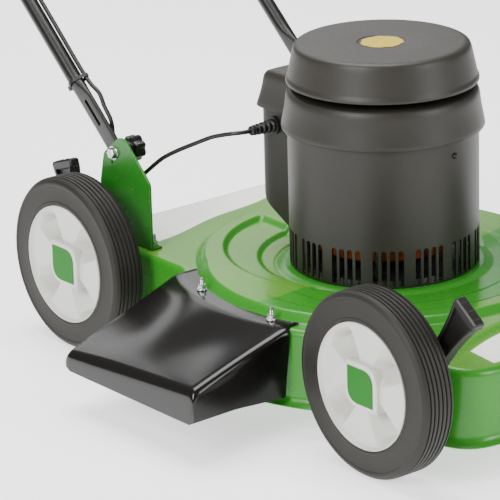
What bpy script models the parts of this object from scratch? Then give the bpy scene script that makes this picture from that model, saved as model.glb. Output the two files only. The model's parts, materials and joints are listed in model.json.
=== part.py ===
"""Walk-behind electric rotary mower with a side-discharge chute, as an assembly of separate pieces.

Metres, +Z up. The front of the mower faces -Y, its handle is at +Y and the chute is on its right
side, -X. The pieces are laid out from the motor's axis on the ground; the root empty then moves
everything so that the middle of the whole mower stands on the world origin.
"""

from math import acos, asin, atan2, cos, pi, radians, sin, sqrt

import bmesh
import bpy
from mathutils import Matrix, Vector

# Driving dimensions
WHEEL_RADIUS = 0.110
TYRE_WIDTH = 0.046
TRACK = 0.460  # between the middle planes of a left and a right tyre
FRONT_AXLE = 0.250  # ahead of the motor's axis
REAR_AXLE = 0.320  # behind the motor's axis
BLADE_LENGTH = 0.460
DECK_WIDTH = 0.376  # across the flat sides that the wheels stand against
DECK_FRONT = 0.342  # motor's axis to the front wall
DECK_REAR = 0.362
DECK_TOP = 0.130  # height of the flat margin round the top
DECK_RIM = 0.040  # height of the lower edge
SHEET = 0.002  # thickness of the deck's and the chute's steel
MOTOR_RADIUS = 0.1155
MOTOR_HEIGHT = 0.2735  # from the deck's pedestal to the top of the cap
CHUTE_REACH = 0.127  # from the deck's wall to the chute's lip
HANDLE_LENGTH = 1.050  # from the fold pivot to the middle of the top bar
HANDLE_ANGLE = radians(42)  # slope of the legs in use
HANDLE_HALF_WIDTH = 0.170
TUBE_RADIUS = 0.0095
LEAD_RADIUS = 0.00275

# Clearances
GAP = 0.0003  # between pieces that touch
RUNNING = 0.0004  # round a shaft in its bore
BLADE_CLEARANCE = 0.018  # blade tip to the deck's wall
SIDE_CLEARANCE = 0.004  # deck's side to a height lever, and lever to wheel

# Deck
CORNER_RADIUS = 0.060
SHOULDER = 0.006  # rounding between the top and the walls
LIP = 0.008  # outward flare of the lower edge
BULGE_RADIUS = BLADE_LENGTH / 2 + BLADE_CLEARANCE  # the walls swell round the blade
PEDESTAL_RISE = 0.010
PEDESTAL_FLARE = 0.014
RING_OUTER = BULGE_RADIUS - 0.026  # raised ring round the motor
RING_WIDTH = 0.015
RING_RISE = 0.0115
RING_SLOPE = 0.006  # run of the ring's outer wall
SHAFT_HOLE = 0.016
DECK_STEP = radians(10)

# Chute
FLANGE_RADIUS = RING_OUTER + RING_SLOPE + 0.0005  # inner edge of the flange bolted to the deck
FOLD_RADIUS = BULGE_RADIUS + 0.0025
CHUTE_REAR = 0.143
CHUTE_FRONT = -0.090
LIP_TOP_FRONT = 0.090
LIP_TOP_REAR = 0.071
LIP_BOTTOM = 0.049
CHUTE_BOLT_ANGLES = (radians(161), radians(195))
CHUTE_BOLT_RADIUS = 0.003
CHUTE_BOLT_INSET = 0.0075  # from the flange's inner edge

# Motor
PEDESTAL_TOP = DECK_TOP + PEDESTAL_RISE
MOTOR_BASE = PEDESTAL_TOP + GAP
COVER_WALL = 0.0025
COVER_SPLIT = MOTOR_BASE + 0.1715  # lower edge of the upper cover
COVER_LAP = 0.005
COVER_TOP = MOTOR_BASE + 0.2195
CAP_RIM = MOTOR_BASE + 0.2275
CAP_TOP = MOTOR_BASE + MOTOR_HEIGHT
CAP_TOP_RADIUS = MOTOR_RADIUS - 0.010
COLLAR_FLARE = 0.007
BOX_HALF_WIDTH = 0.060  # terminal box on the rear of the covers
BOX_REAR = MOTOR_RADIUS + 0.0465
BOX_FOOT = MOTOR_BASE + 0.049
BOX_CHAMFER = 0.023
BOX_FLARE = 0.006
AIR_HOLE = 0.080
VENT_WIDTH = 0.005
VENT_PITCH = radians(5.1)
VENT_GROUPS = 14
VENTS_IN_GROUP = 4
VENT_FOOT = MOTOR_BASE + 0.005
VENT_HEIGHT = 0.040
STATOR_RADIUS = 0.092
STATOR_BORE = 0.058
STATOR_FOOT = MOTOR_BASE + 0.044
STATOR_HEIGHT = 0.050
WINDING_HEIGHT = 0.022
WINDING_DEPTH = 0.014
POST_RADIUS = 0.004
AIR_GAP = 0.0008
SHAFT_RADIUS = 0.010
BEARING_RADIUS = 0.021
BEARING_WIDTH = 0.012
BLADE_WIDTH = 0.050
BLADE_THICKNESS = 0.004
BLADE_HEIGHT = DECK_RIM + 0.020
RELIEF_LENGTH = 0.040
RELIEF_PLACE = (0.132, 0.293)  # y and z of the strain relief on the box's right face

# Wheels and height levers
RIM_RADIUS = 0.075
HUB_RADIUS = 0.020
CAP_SIDE = 0.046  # square cap on the hub
AXLE_RADIUS = 0.006
LEVER_THICKNESS = 0.005
CRANK = 0.036  # from a lever's pivot to its axle
LEVER_BOSS = 0.013
LEVER_WIDTH = 0.034
FRONT_LEVER_LENGTH = 0.130  # pivot to the middle of the paddle's bar
REAR_LEVER_LENGTH = 0.108
FRONT_LEVER_ANGLE = radians(52.5)
REAR_LEVER_ANGLE = radians(72)
PADDLE_LENGTH = 0.042
PADDLE_WIDTH = 0.024
PADDLE_THICKNESS = 0.013
PIVOT_RADIUS = 0.005

# Handle
BRACKET_SHEET = 0.003
LEG_TAB = 0.006  # thickness of a leg's flattened end
PIVOT_Y = 0.3105
PIVOT_Z = 0.2415
PIVOT_BOLT_RADIUS = 0.004
KNOB_RADIUS = 0.017
KNOB_THICKNESS = 0.016
KNOB_BOSS = 0.015
BAIL_OFFSET = 0.130  # from the top bar down a leg to the bail's pivots
BAIL_RADIUS = 0.003
BAIL_ANGLE = radians(40)
GRIP_WALL = 0.004
GRIP_LENGTH = 0.230
BOX_SIZE = (0.052, 0.110, 0.060)  # switch box: across, along the leg, deep
BOX_DOWN_LEG = 0.250
GLAND_LENGTH = 0.022
BOX_LEAD_LIFT = 0.019  # the lead's way into the box, off the legs' plane
BUTTON_RADIUS = 0.009
BUTTON_PROUD = 0.008
TIE_DOWN_LEG = 0.110  # from the fold pivot up the leg to the cable tie

HALF_DECK = DECK_WIDTH / 2
WHEEL_X = TRACK / 2
MOTOR_ROTOR_RADIUS = STATOR_BORE - AIR_GAP
LEG_DIRECTION = Vector((0, cos(HANDLE_ANGLE), sin(HANDLE_ANGLE)))
LEG_NORMAL = Vector((0, -sin(HANDLE_ANGLE), cos(HANDLE_ANGLE)))
PIVOT = Vector((0, PIVOT_Y, PIVOT_Z))

COLLECTIONS = {}
MATERIALS = {}
ORIGINS = {}


# Scene, materials and placing


def clear_scene():
    for obj in list(bpy.data.objects):
        bpy.data.objects.remove(obj, do_unlink=True)


def make_collections():
    for key, name in (("parts", "rotary_mower"), ("cutters", "mower_cutters")):
        COLLECTIONS[key] = bpy.data.collections.new(name)
        bpy.context.scene.collection.children.link(COLLECTIONS[key])


def material(name, colour, roughness, metallic=0.0):
    made = bpy.data.materials.new(name)
    made.use_nodes = True
    shader = made.node_tree.nodes["Principled BSDF"]
    shader.inputs["Base Color"].default_value = (*colour, 1)
    shader.inputs["Roughness"].default_value = roughness
    shader.inputs["Metallic"].default_value = metallic
    made.diffuse_color = (*colour, 1)
    MATERIALS[name] = made


def make_materials():
    material("green_enamel", (0.055, 0.30, 0.035), 0.25)
    material("black_enamel", (0.012, 0.011, 0.010), 0.18)
    material("cover_plastic", (0.060, 0.056, 0.052), 0.55)
    material("black_plastic", (0.030, 0.028, 0.026), 0.5)
    material("tyre_rubber", (0.045, 0.042, 0.038), 0.75)
    material("rim_plastic", (0.74, 0.73, 0.70), 0.4)
    material("cap_green", (0.05, 0.30, 0.05), 0.35)
    material("handle_enamel", (0.035, 0.033, 0.028), 0.35)
    material("zinc", (0.65, 0.65, 0.66), 0.28, 1.0)
    material("steel", (0.50, 0.50, 0.50), 0.4, 1.0)
    material("laminated_steel", (0.32, 0.32, 0.34), 0.5, 1.0)
    material("copper_wire", (0.72, 0.25, 0.08), 0.35, 1.0)
    material("cast_aluminium", (0.62, 0.62, 0.63), 0.5, 1.0)
    material("lead_sheath", (0.030, 0.028, 0.024), 0.45)
    material("foam_grip", (0.025, 0.025, 0.025), 0.85)
    material("red_plastic", (0.60, 0.03, 0.02), 0.4)


def empty_at(name, where, parent=None):
    empty = bpy.data.objects.new(name, None)
    empty.empty_display_size = 0.03
    COLLECTIONS["parts"].objects.link(empty)
    ORIGINS[name] = Vector(where)
    put(empty, where, parent)
    return empty


def put(obj, where, parent, turn=(0, 0, 0)):
    """Places an object at a point of the layout, under an unturned parent."""
    obj.rotation_euler = turn
    obj.parent = parent
    obj.location = Vector(where) - (ORIGINS[parent.name] if parent else Vector())
    return obj


def dress(obj, finish, smooth=30):
    obj.data.materials.append(MATERIALS[finish])
    if obj.type == "MESH" and smooth:
        obj.data.shade_smooth()
        obj.data.set_sharp_from_angle(angle=radians(smooth))


def add_object(name, data, finish, where, parent, turn=(0, 0, 0)):
    """finish names a material, or is None for a cutter."""
    obj = bpy.data.objects.new(name, data)
    COLLECTIONS["parts" if finish else "cutters"].objects.link(obj)
    put(obj, where, parent, turn)
    if finish:
        dress(obj, finish)
    else:
        obj.hide_render = True
        obj.display_type = "WIRE"
    return obj


# Shapes


def mesh_of(name, points, faces=(), edges=()):
    mesh = bpy.data.meshes.new(name)
    mesh.from_pydata([tuple(p) for p in points], edges, faces)
    mesh.update()
    return mesh


def recalculated(mesh):
    shape = bmesh.new()
    shape.from_mesh(mesh)
    bmesh.ops.remove_doubles(shape, verts=shape.verts, dist=1e-6)
    bmesh.ops.recalc_face_normals(shape, faces=shape.faces)
    shape.to_mesh(mesh)
    shape.free()
    return mesh


def turned(name, profile, finish, where, parent, segments=32, closed=False, turn=(0, 0, 0)):
    """Screws (radius, height) points about Z. The outer side runs from top to bottom."""
    count = len(profile)
    edges = [(i, i + 1) for i in range(count - 1)] + ([(count - 1, 0)] if closed else [])
    mesh = mesh_of(name, [(r, 0, z) for r, z in profile], edges=edges)
    obj = add_object(name, mesh, finish, where, parent, turn)
    screw = obj.modifiers.new("turn", "SCREW")
    screw.steps = screw.render_steps = segments
    screw.use_merge_vertices = True
    screw.merge_threshold = 1e-5
    return obj


def ring_profile(inner, outer, low, high):
    return [(outer, high), (outer, low), (inner, low), (inner, high)]


def block(name, low, high, finish, parent, bevel=0.0):
    low, high = Vector(low), Vector(high)
    shape = bmesh.new()
    bmesh.ops.create_cube(shape, size=1)
    bmesh.ops.scale(shape, vec=high - low, verts=shape.verts)
    mesh = bpy.data.meshes.new(name)
    shape.to_mesh(mesh)
    shape.free()
    obj = add_object(name, mesh, finish, (low + high) / 2, parent)
    if bevel:
        rounding(obj, bevel)
    return obj


def rounding(obj, width, segments=2, angle=40):
    bevel = obj.modifiers.new("rounded edges", "BEVEL")
    bevel.width = width
    bevel.segments = segments
    bevel.limit_method = "ANGLE"
    bevel.angle_limit = radians(angle)


def prism(name, outline, low, high, finish, where, parent, turn=(0, 0, 0)):
    """Closed mesh between the heights low and high on a convex outline of (x, y) points."""
    count = len(outline)
    points = [(x, y, z) for z in (low, high) for x, y in outline]
    sides = [(i, (i + 1) % count, count + (i + 1) % count, count + i) for i in range(count)]
    caps = [tuple(range(count)), tuple(range(count, 2 * count))]
    mesh = recalculated(mesh_of(name, points, sides + caps))
    return add_object(name, mesh, finish, where, parent, turn)


def plate(name, outlines, thickness, finish, where, parent, turn=(0, 0, 0)):
    """Flat piece from (x, y) outlines, the first outside and the others holes."""
    curve = bpy.data.curves.new(name, "CURVE")
    curve.dimensions = "2D"
    curve.fill_mode = "BOTH"
    curve.extrude = thickness / 2
    for outline in outlines:
        spline = curve.splines.new("POLY")
        spline.points.add(len(outline) - 1)
        for point, (x, y) in zip(spline.points, outline):
            point.co = (x, y, 0, 1)
        spline.use_cyclic_u = True
    return add_object(name, curve, finish, where, parent, turn)


def tube(name, route, radius, finish, parent, resolution=4, cyclic=False):
    curve = bpy.data.curves.new(name, "CURVE")
    curve.dimensions = "3D"
    curve.bevel_depth = radius
    curve.bevel_resolution = resolution
    curve.use_fill_caps = not cyclic
    spline = curve.splines.new("POLY")
    spline.points.add(len(route) - 1)
    origin = ORIGINS[parent.name]
    for point, place in zip(spline.points, route):
        point.co = (*(Vector(place) - origin), 1)
    spline.use_cyclic_u = cyclic
    return add_object(name, curve, finish, origin, parent)


def as_mesh(obj):
    """The same piece as a mesh with its caps welded, so that it can be cut or joined."""
    bpy.context.view_layer.update()
    graph = bpy.context.evaluated_depsgraph_get()
    mesh = recalculated(bpy.data.meshes.new_from_object(obj.evaluated_get(graph)))
    name, parent, place = obj.name, obj.parent, obj.matrix_world.copy()
    hidden = obj.hide_render
    home = obj.users_collection[0]
    bpy.data.objects.remove(obj, do_unlink=True)
    made = bpy.data.objects.new(name, mesh)
    home.objects.link(made)
    made.parent = parent
    made.matrix_world = place
    if hidden:
        made.hide_render = True
        made.display_type = "WIRE"
    return made


def combine(obj, other, operation):
    made = obj.modifiers.new(other.name, "BOOLEAN")
    made.operation = operation
    made.solver = "EXACT"
    made.object = other


def cut(obj, cutter):
    combine(obj, cutter, "DIFFERENCE")


def join(obj, other):
    combine(obj, other, "UNION")


def cylinder_between(name, start, end, radius, parent, segments=24, finish=None):
    start, end = Vector(start), Vector(end)
    turn = (end - start).to_track_quat("Z", "Y").to_euler()
    length = (end - start).length
    profile = [(0, length), (radius, length), (radius, 0), (0, 0)]
    return turned(name, profile, finish, start, parent, segments, turn=turn)


def arc(centre, radius, start, end, count):
    step = (end - start) / count
    return [
        (centre[0] + radius * cos(start + i * step), centre[1] + radius * sin(start + i * step))
        for i in range(count + 1)
    ]


def circle(centre, radius, count=16):
    return arc(centre, radius, 0, 2 * pi, count)[:-1]


def hexagon(radius):
    return circle((0, 0), radius, 6)


def slot_outline(centre, length, width, angle):
    """Round-ended slot, length over all, turned by angle."""
    straight = (length - width) / 2
    along = Vector((cos(angle), sin(angle)))
    points = []
    for side, start in ((1, angle - pi / 2), (-1, angle + pi / 2)):
        end = Vector(centre) + side * straight * along
        points += arc(end, width / 2, start, start + pi, 6)
    return points


def blended(points, steps):
    """Catmull-Rom curve through the points, steps samples to a span."""
    points = [Vector(p) for p in points]
    ends = [2 * points[0] - points[1], *points, 2 * points[-1] - points[-2]]
    curve = []
    for a, b, c, d in zip(ends, ends[1:], ends[2:], ends[3:]):
        for i in range(steps):
            t = i / steps
            curve.append(
                (2 * b + (c - a) * t + (2 * a - 5 * b + 4 * c - d) * t**2
                 + (3 * b - a - 3 * c + d) * t**3) / 2
            )
    return [*curve, points[-1]]


# Deck and chute


def deck_reach(angle):
    """Distance from the motor's axis to the deck's wall: a rounded box swollen round the blade."""
    along, across = cos(angle), sin(angle)
    depth = DECK_REAR if across > 0 else DECK_FRONT
    reach = min(
        HALF_DECK / max(abs(along), 1e-9),
        depth / max(abs(across), 1e-9),
    )
    corner = Vector((HALF_DECK - CORNER_RADIUS, depth - CORNER_RADIUS))
    ray = Vector((abs(along), abs(across)))
    if reach * ray.x > corner.x and reach * ray.y > corner.y:
        middle = corner.dot(ray)
        reach = middle + sqrt(max(0, middle**2 - corner.length_squared + CORNER_RADIUS**2))
    return max(reach, BULGE_RADIUS)


def deck_angles():
    """Even steps round the deck, with more of them at its four corners."""
    angles = {round(i * DECK_STEP, 6) for i in range(round(2 * pi / DECK_STEP))}
    for depth, sign in ((DECK_REAR, 1), (DECK_FRONT, -1)):
        first = atan2(depth - CORNER_RADIUS, HALF_DECK)
        last = atan2(depth, HALF_DECK - CORNER_RADIUS)
        for i in range(4):
            angle = sign * (first + (last - first) * i / 3)
            angles |= {round(angle % (2 * pi), 6), round((pi - angle) % (2 * pi), 6)}
    kept = []
    for angle in sorted(angles):
        if not kept or angle - kept[-1] > radians(1.2):
            kept.append(angle)
    return kept


def make_deck(parent):
    pedestal = MOTOR_RADIUS + 0.005
    circles = (
        (SHAFT_HOLE, PEDESTAL_TOP),
        (pedestal, PEDESTAL_TOP),
        (pedestal + PEDESTAL_FLARE, DECK_TOP),
        (RING_OUTER - RING_WIDTH - RING_RISE, DECK_TOP),
        (RING_OUTER - RING_WIDTH, DECK_TOP + RING_RISE),
        (RING_OUTER, DECK_TOP + RING_RISE),
        (RING_OUTER + RING_SLOPE, DECK_TOP),
    )
    walls = (
        (-SHOULDER, DECK_TOP),
        (-0.3 * SHOULDER, DECK_TOP - 0.3 * SHOULDER),
        (0, DECK_TOP - SHOULDER),
        (0, DECK_RIM + 0.75 * LIP),
        (LIP, DECK_RIM),
    )
    angles = deck_angles()
    rings = [[(r, z)] * len(angles) for r, z in circles]
    rings += [[(deck_reach(a) + out, z) for a in angles] for out, z in walls]
    points = [
        (r * cos(a), r * sin(a), z) for ring in rings for a, (r, z) in zip(angles, ring)
    ]
    count = len(angles)
    faces = [
        (k * count + i, (k + 1) * count + i,
         (k + 1) * count + (i + 1) % count, k * count + (i + 1) % count)
        for k in range(len(rings) - 1)
        for i in range(count)
    ]
    deck = add_object("deck", mesh_of("deck", points, faces), "green_enamel", (0, 0, 0), parent)
    wall = deck.modifiers.new("sheet", "SOLIDIFY")
    wall.thickness = SHEET
    wall.offset = -1
    wall.use_even_offset = True
    outlet = block(
        "outlet_cutter",
        (-BULGE_RADIUS - 0.030, CHUTE_FRONT + 0.008, DECK_RIM + LIP + 0.004),
        (-BULGE_RADIUS + 0.060, CHUTE_REAR - 0.008, DECK_TOP - SHOULDER - 0.004),
        None, parent,
    )
    cut(deck, outlet)
    return deck


def drill(piece, name, start, end, radius, parent):
    cut(piece, cylinder_between(name, start, end, radius, parent, 12))


def chute_bolt_place(angle):
    reach = FLANGE_RADIUS + CHUTE_BOLT_INSET
    return Vector((reach * cos(angle), reach * sin(angle), 0))


def make_chute(deck, parent):
    """Flange on the deck's margin, folded down along an arc into a sloping hood with a turned lip."""
    height = DECK_TOP + 2 * GAP + SHEET
    lip_x = -BULGE_RADIUS - CHUTE_REACH
    columns = 10
    fold_rear = pi - asin(CHUTE_REAR / FOLD_RADIUS)
    fold_front = pi - asin(CHUTE_FRONT / FOLD_RADIUS)
    rows = []
    for i in range(columns + 1):
        share = i / columns
        angle = fold_rear + (fold_front - fold_rear) * share
        flange = Vector((FLANGE_RADIUS * cos(angle), FLANGE_RADIUS * sin(angle), height))
        fold = Vector((FOLD_RADIUS * cos(angle), FOLD_RADIUS * sin(angle), height))
        y = CHUTE_REAR + (CHUTE_FRONT - CHUTE_REAR) * share
        top = Vector((lip_x, y, LIP_TOP_REAR + (LIP_TOP_FRONT - LIP_TOP_REAR) * share))
        bottom = Vector((lip_x, y, LIP_BOTTOM))
        rows.append([flange, fold, fold.lerp(top, 0.5), fold.lerp(top, 0.93), top.lerp(bottom, 0.12), bottom])
    points = [p for row in rows for p in row]
    width = len(rows[0])
    faces = [
        (i * width + j, i * width + j + 1, (i + 1) * width + j + 1, (i + 1) * width + j)
        for i in range(columns)
        for j in range(width - 1)
    ]
    for row, sign in ((0, 1), (columns, -1)):
        foot = len(points)
        for j in range(1, width - 1):
            top = rows[row][j]
            points.append(Vector((top.x, top.y, LIP_BOTTOM)))
        corners = [*range(foot, foot + width - 2), row * width + width - 1]
        for j in range(1, width - 1):
            quad = (row * width + j, row * width + j + 1, corners[j], corners[j - 1])
            if quad[1] == quad[2]:
                quad = (quad[0], quad[1], quad[3])
            faces.append(quad if sign < 0 else quad[::-1])
    mesh = recalculated(mesh_of("chute", points, faces))
    chute = add_object("chute", mesh, "black_enamel", (0, 0, 0), parent)
    wall = chute.modifiers.new("sheet", "SOLIDIFY")
    wall.thickness = SHEET
    wall.offset = -1
    wall.use_even_offset = True
    if Vector(mesh.polygons[0].normal).z < 0:
        mesh.flip_normals()
    for number, angle in enumerate(CHUTE_BOLT_ANGLES, 1):
        place = chute_bolt_place(angle)
        low, high = place + Vector((0, 0, DECK_TOP - 0.02)), place + Vector((0, 0, DECK_TOP + 0.02))
        drill(deck, f"chute_bolt_hole_deck_{number}", low, high, CHUTE_BOLT_RADIUS + GAP, parent)
        drill(chute, f"chute_bolt_hole_{number}", low, high, CHUTE_BOLT_RADIUS + GAP, parent)
        make_bolt(
            f"chute_bolt_{number}", place + Vector((0, 0, DECK_TOP - SHEET - GAP)),
            Vector((0, 0, 1)), CHUTE_BOLT_RADIUS, 0.018, 3 * GAP + 2 * SHEET, parent,
        )


def make_bolt(name, seat, direction, radius, length, grip, parent, nut=True):
    """Bolt whose head lies behind seat and whose nut, turned onto it, is a grip's length ahead."""
    turn = direction.to_track_quat("Z", "Y").to_euler()
    head = 1.75 * radius
    grip += GAP
    bolt = turned(
        name,
        [(0, length), (radius - 0.0005, length), (radius, length - 0.001), (radius, 0), (head, 0),
         (head, -1.1 * radius), (0, -1.1 * radius)],
        "zinc", seat, parent, 12, turn=turn,
    )
    if nut:
        shape = prism(f"{name}_nut", hexagon(2 * radius), grip, grip + 1.6 * radius, None, seat, parent, turn)
        join(bolt, shape)
    return bolt


# Motor


def box_prism(name, grow, foot, top, chamfer, finish, parent, flare=0.0):
    """Terminal box as a solid: walls moved out by grow, wider by flare at its foot."""
    half = BOX_HALF_WIDTH + grow
    rear = BOX_REAR + grow
    front = MOTOR_RADIUS * 0.55
    points, count = [], 0
    for side in (-1, 1):
        foot_half, top_half = side * (half + flare), side * half
        section = [
            (top_half, front, top), (foot_half, front, foot - chamfer),
            (foot_half, rear - 2 * chamfer, foot - chamfer), (foot_half, rear + flare, foot),
            (top_half, rear, top),
        ]
        if not chamfer:
            section.pop(2)
        points += section
        count = len(section)
    sides = [(i, (i + 1) % count, count + (i + 1) % count, count + i) for i in range(count)]
    caps = [tuple(range(count)), tuple(range(count, 2 * count))]
    mesh = recalculated(mesh_of(name, points, sides + caps))
    return add_object(name, mesh, finish, (0, 0, 0), parent)


def vent_cutter(parent):
    """All the cooling slots as one cutter, left out where the terminal box stands."""
    shape = bmesh.new()
    box_half_angle = asin(BOX_HALF_WIDTH / MOTOR_RADIUS) + VENT_PITCH
    for group in range(VENT_GROUPS):
        for number in range(VENTS_IN_GROUP):
            angle = pi / 2 + 2 * pi * (group + 0.5) / VENT_GROUPS
            angle += (number - (VENTS_IN_GROUP - 1) / 2) * VENT_PITCH
            if abs((angle - pi / 2 + pi) % (2 * pi) - pi) < box_half_angle:
                continue
            made = bmesh.ops.create_cube(shape, size=1)["verts"]
            bmesh.ops.scale(shape, vec=(6 * COVER_WALL, VENT_WIDTH, VENT_HEIGHT), verts=made)
            place = Matrix.Rotation(angle, 4, "Z") @ Matrix.Translation(
                (MOTOR_RADIUS - COVER_WALL / 2, 0, VENT_FOOT + VENT_HEIGHT / 2)
            )
            bmesh.ops.transform(shape, matrix=place, verts=made)
    mesh = bpy.data.meshes.new("vent_cutter")
    shape.to_mesh(mesh)
    shape.free()
    return add_object("vent_cutter", mesh, None, (0, 0, 0), parent)


def make_covers(parent):
    top = COVER_SPLIT + COVER_LAP
    lower = turned(
        "motor_lower_cover", [(0, top), (MOTOR_RADIUS, top), (MOTOR_RADIUS, MOTOR_BASE), (0, MOTOR_BASE)],
        "cover_plastic", (0, 0, 0), parent, 56,
    )
    join(lower, box_prism("box_lower", 0, BOX_FOOT, top, BOX_CHAMFER, None, parent))
    bore = MOTOR_RADIUS - COVER_WALL
    cut(lower, turned(
        "lower_bore", [(0, top + 0.01), (bore, top + 0.01), (bore, MOTOR_BASE - 0.01), (0, MOTOR_BASE - 0.01)],
        None, (0, 0, 0), parent, 56,
    ))
    cut(lower, box_prism(
        "box_lower_inside", -COVER_WALL, BOX_FOOT + COVER_WALL / 2, top + 0.01,
        BOX_CHAMFER - COVER_WALL, None, parent,
    ))
    cut(lower, vent_cutter(parent))

    flare = MOTOR_RADIUS + COLLAR_FLARE
    neck = MOTOR_RADIUS + 0.001
    upper = turned(
        "motor_upper_cover",
        [(0, COVER_TOP), (neck - 0.004, COVER_TOP), (neck, COVER_TOP - 0.004), (flare, COVER_SPLIT),
         (0, COVER_SPLIT)],
        "cover_plastic", (0, 0, 0), parent, 56,
    )
    join(upper, box_prism("box_upper", 0.001, COVER_SPLIT, COVER_TOP - 0.002, 0, None, parent, BOX_FLARE))
    ceiling = COVER_TOP - COVER_WALL
    cut(upper, turned(
        "upper_bore",
        [(0, ceiling), (neck - COVER_WALL, ceiling), (flare - COVER_WALL, COVER_SPLIT),
         (flare - COVER_WALL, COVER_SPLIT - 0.01), (0, COVER_SPLIT - 0.01)],
        None, (0, 0, 0), parent, 56,
    ))
    cut(upper, box_prism(
        "box_upper_inside", 0.001 - COVER_WALL, COVER_SPLIT - 0.003, ceiling - 0.002, 0, None,
        parent, BOX_FLARE,
    ))
    cut(upper, cylinder_between(
        "air_hole", (0, 0, ceiling - 0.01), (0, 0, COVER_TOP + 0.01), AIR_HOLE, parent, 32,
    ))
    relief_y, relief_z = RELIEF_PLACE
    wall_x = -BOX_HALF_WIDTH
    relief = turned(
        "strain_relief",
        [(0, RELIEF_LENGTH), (0.0052, RELIEF_LENGTH), (0.0085, 0.004), (0.0115, 0.004), (0.0115, 0), (0, 0)],
        "black_plastic", (wall_x - GAP, relief_y, relief_z), parent, 16, turn=(0, -pi / 2, 0),
    )
    make_cover_screws(parent)
    return relief


def make_cover_screws(parent):
    side = Vector((-BOX_HALF_WIDTH - GAP, MOTOR_RADIUS - 0.006, COVER_SPLIT - 0.027))
    angle = radians(-84)
    around = Vector((cos(angle), sin(angle), 0))
    front = around * (MOTOR_RADIUS + GAP) + Vector((0, 0, COVER_SPLIT - 0.018))
    for number, (place, out) in enumerate(((side, Vector((-1, 0, 0))), (front, around)), 1):
        turn = out.to_track_quat("Z", "Y").to_euler()
        turned(
            f"cover_screw_{number}", [(0, 0.0025), (0.0025, 0.0025), (0.0035, 0.001), (0.0035, 0), (0, 0)],
            "black_plastic", place, parent, 12, turn=turn,
        )


def make_cap(parent):
    rim = MOTOR_RADIUS + 0.0005
    inner_top = CAP_TOP - COVER_WALL
    cap = turned(
        "motor_cap",
        [(0, CAP_TOP), (CAP_TOP_RADIUS - 0.003, CAP_TOP), (CAP_TOP_RADIUS, CAP_TOP - 0.003),
         (rim, CAP_RIM), (rim - COVER_WALL, CAP_RIM), (CAP_TOP_RADIUS - COVER_WALL, inner_top - 0.001),
         (0, inner_top)],
        "cover_plastic", (0, 0, 0), parent, 56,
    )
    for i in range(3):
        angle = radians(30 + 120 * i)
        foot = Vector((0.095 * cos(angle), 0.095 * sin(angle), COVER_TOP + GAP))
        top = foot + Vector((0, 0, CAP_TOP - COVER_WALL / 2 - foot.z))
        join(cap, cylinder_between(f"cap_post_{i}", foot, top, 0.004, parent, 10))


def make_motor_inside(parent):
    top = STATOR_FOOT + STATOR_HEIGHT
    turned(
        "stator_core", ring_profile(STATOR_BORE, STATOR_RADIUS, STATOR_FOOT, top),
        "laminated_steel", (0, 0, 0), parent, 32, closed=True,
    )
    for name, low in (
        ("winding_lower", STATOR_FOOT - GAP - WINDING_HEIGHT), ("winding_upper", top + GAP),
    ):
        high = low + WINDING_HEIGHT
        outer = STATOR_RADIUS - 0.004
        inner = outer - WINDING_DEPTH
        turned(
            name,
            [(outer, high - 0.004), (outer, low + 0.004), (outer - 0.004, low), (inner + 0.004, low),
             (inner, low + 0.004), (inner, high - 0.004), (inner + 0.004, high), (outer - 0.004, high)],
            "copper_wire", (0, 0, 0), parent, 24, closed=True,
        )
    bore = BEARING_RADIUS + GAP
    plate_top = MOTOR_BASE + 0.006
    bridge = top + 0.034
    base = turned(
        "motor_base_plate",
        [(0.105, plate_top), (0.105, MOTOR_BASE), (SHAFT_RADIUS + 0.002, MOTOR_BASE),
         (SHAFT_RADIUS + 0.002, MOTOR_BASE + 0.002), (bore, MOTOR_BASE + 0.002), (bore, plate_top + 0.010),
         (bore + 0.005, plate_top + 0.010), (bore + 0.008, plate_top)],
        "cast_aluminium", (0, 0, 0), parent, 24, closed=True,
    )
    post_reach = STATOR_RADIUS + GAP + POST_RADIUS
    for i in range(4):
        angle = radians(45 + 90 * i)
        foot = Vector((post_reach * cos(angle), post_reach * sin(angle), MOTOR_BASE + 0.003))
        end = Vector((foot.x, foot.y, bridge - GAP))
        join(base, cylinder_between(f"stator_post_{i}", foot, end, POST_RADIUS, parent, 10))
    turned(
        "bearing_bridge",
        [(0.104, bridge + 0.005), (0.104, bridge), (bore + 0.008, bridge),
         (bore + 0.005, bridge - 0.010), (bore, bridge - 0.010), (bore, bridge + 0.003),
         (SHAFT_RADIUS + 0.002, bridge + 0.003), (SHAFT_RADIUS + 0.002, bridge + 0.005)],
        "cast_aluminium", (0, 0, 0), parent, 24, closed=True,
    )
    for name, low in (
        ("bearing_lower", MOTOR_BASE + 0.002 + GAP), ("bearing_upper", bridge + 0.003 - GAP - BEARING_WIDTH),
    ):
        turned(
            name, ring_profile(SHAFT_RADIUS + RUNNING, BEARING_RADIUS, low, low + BEARING_WIDTH),
            "steel", (0, 0, 0), parent, 24, closed=True,
        )


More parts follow.
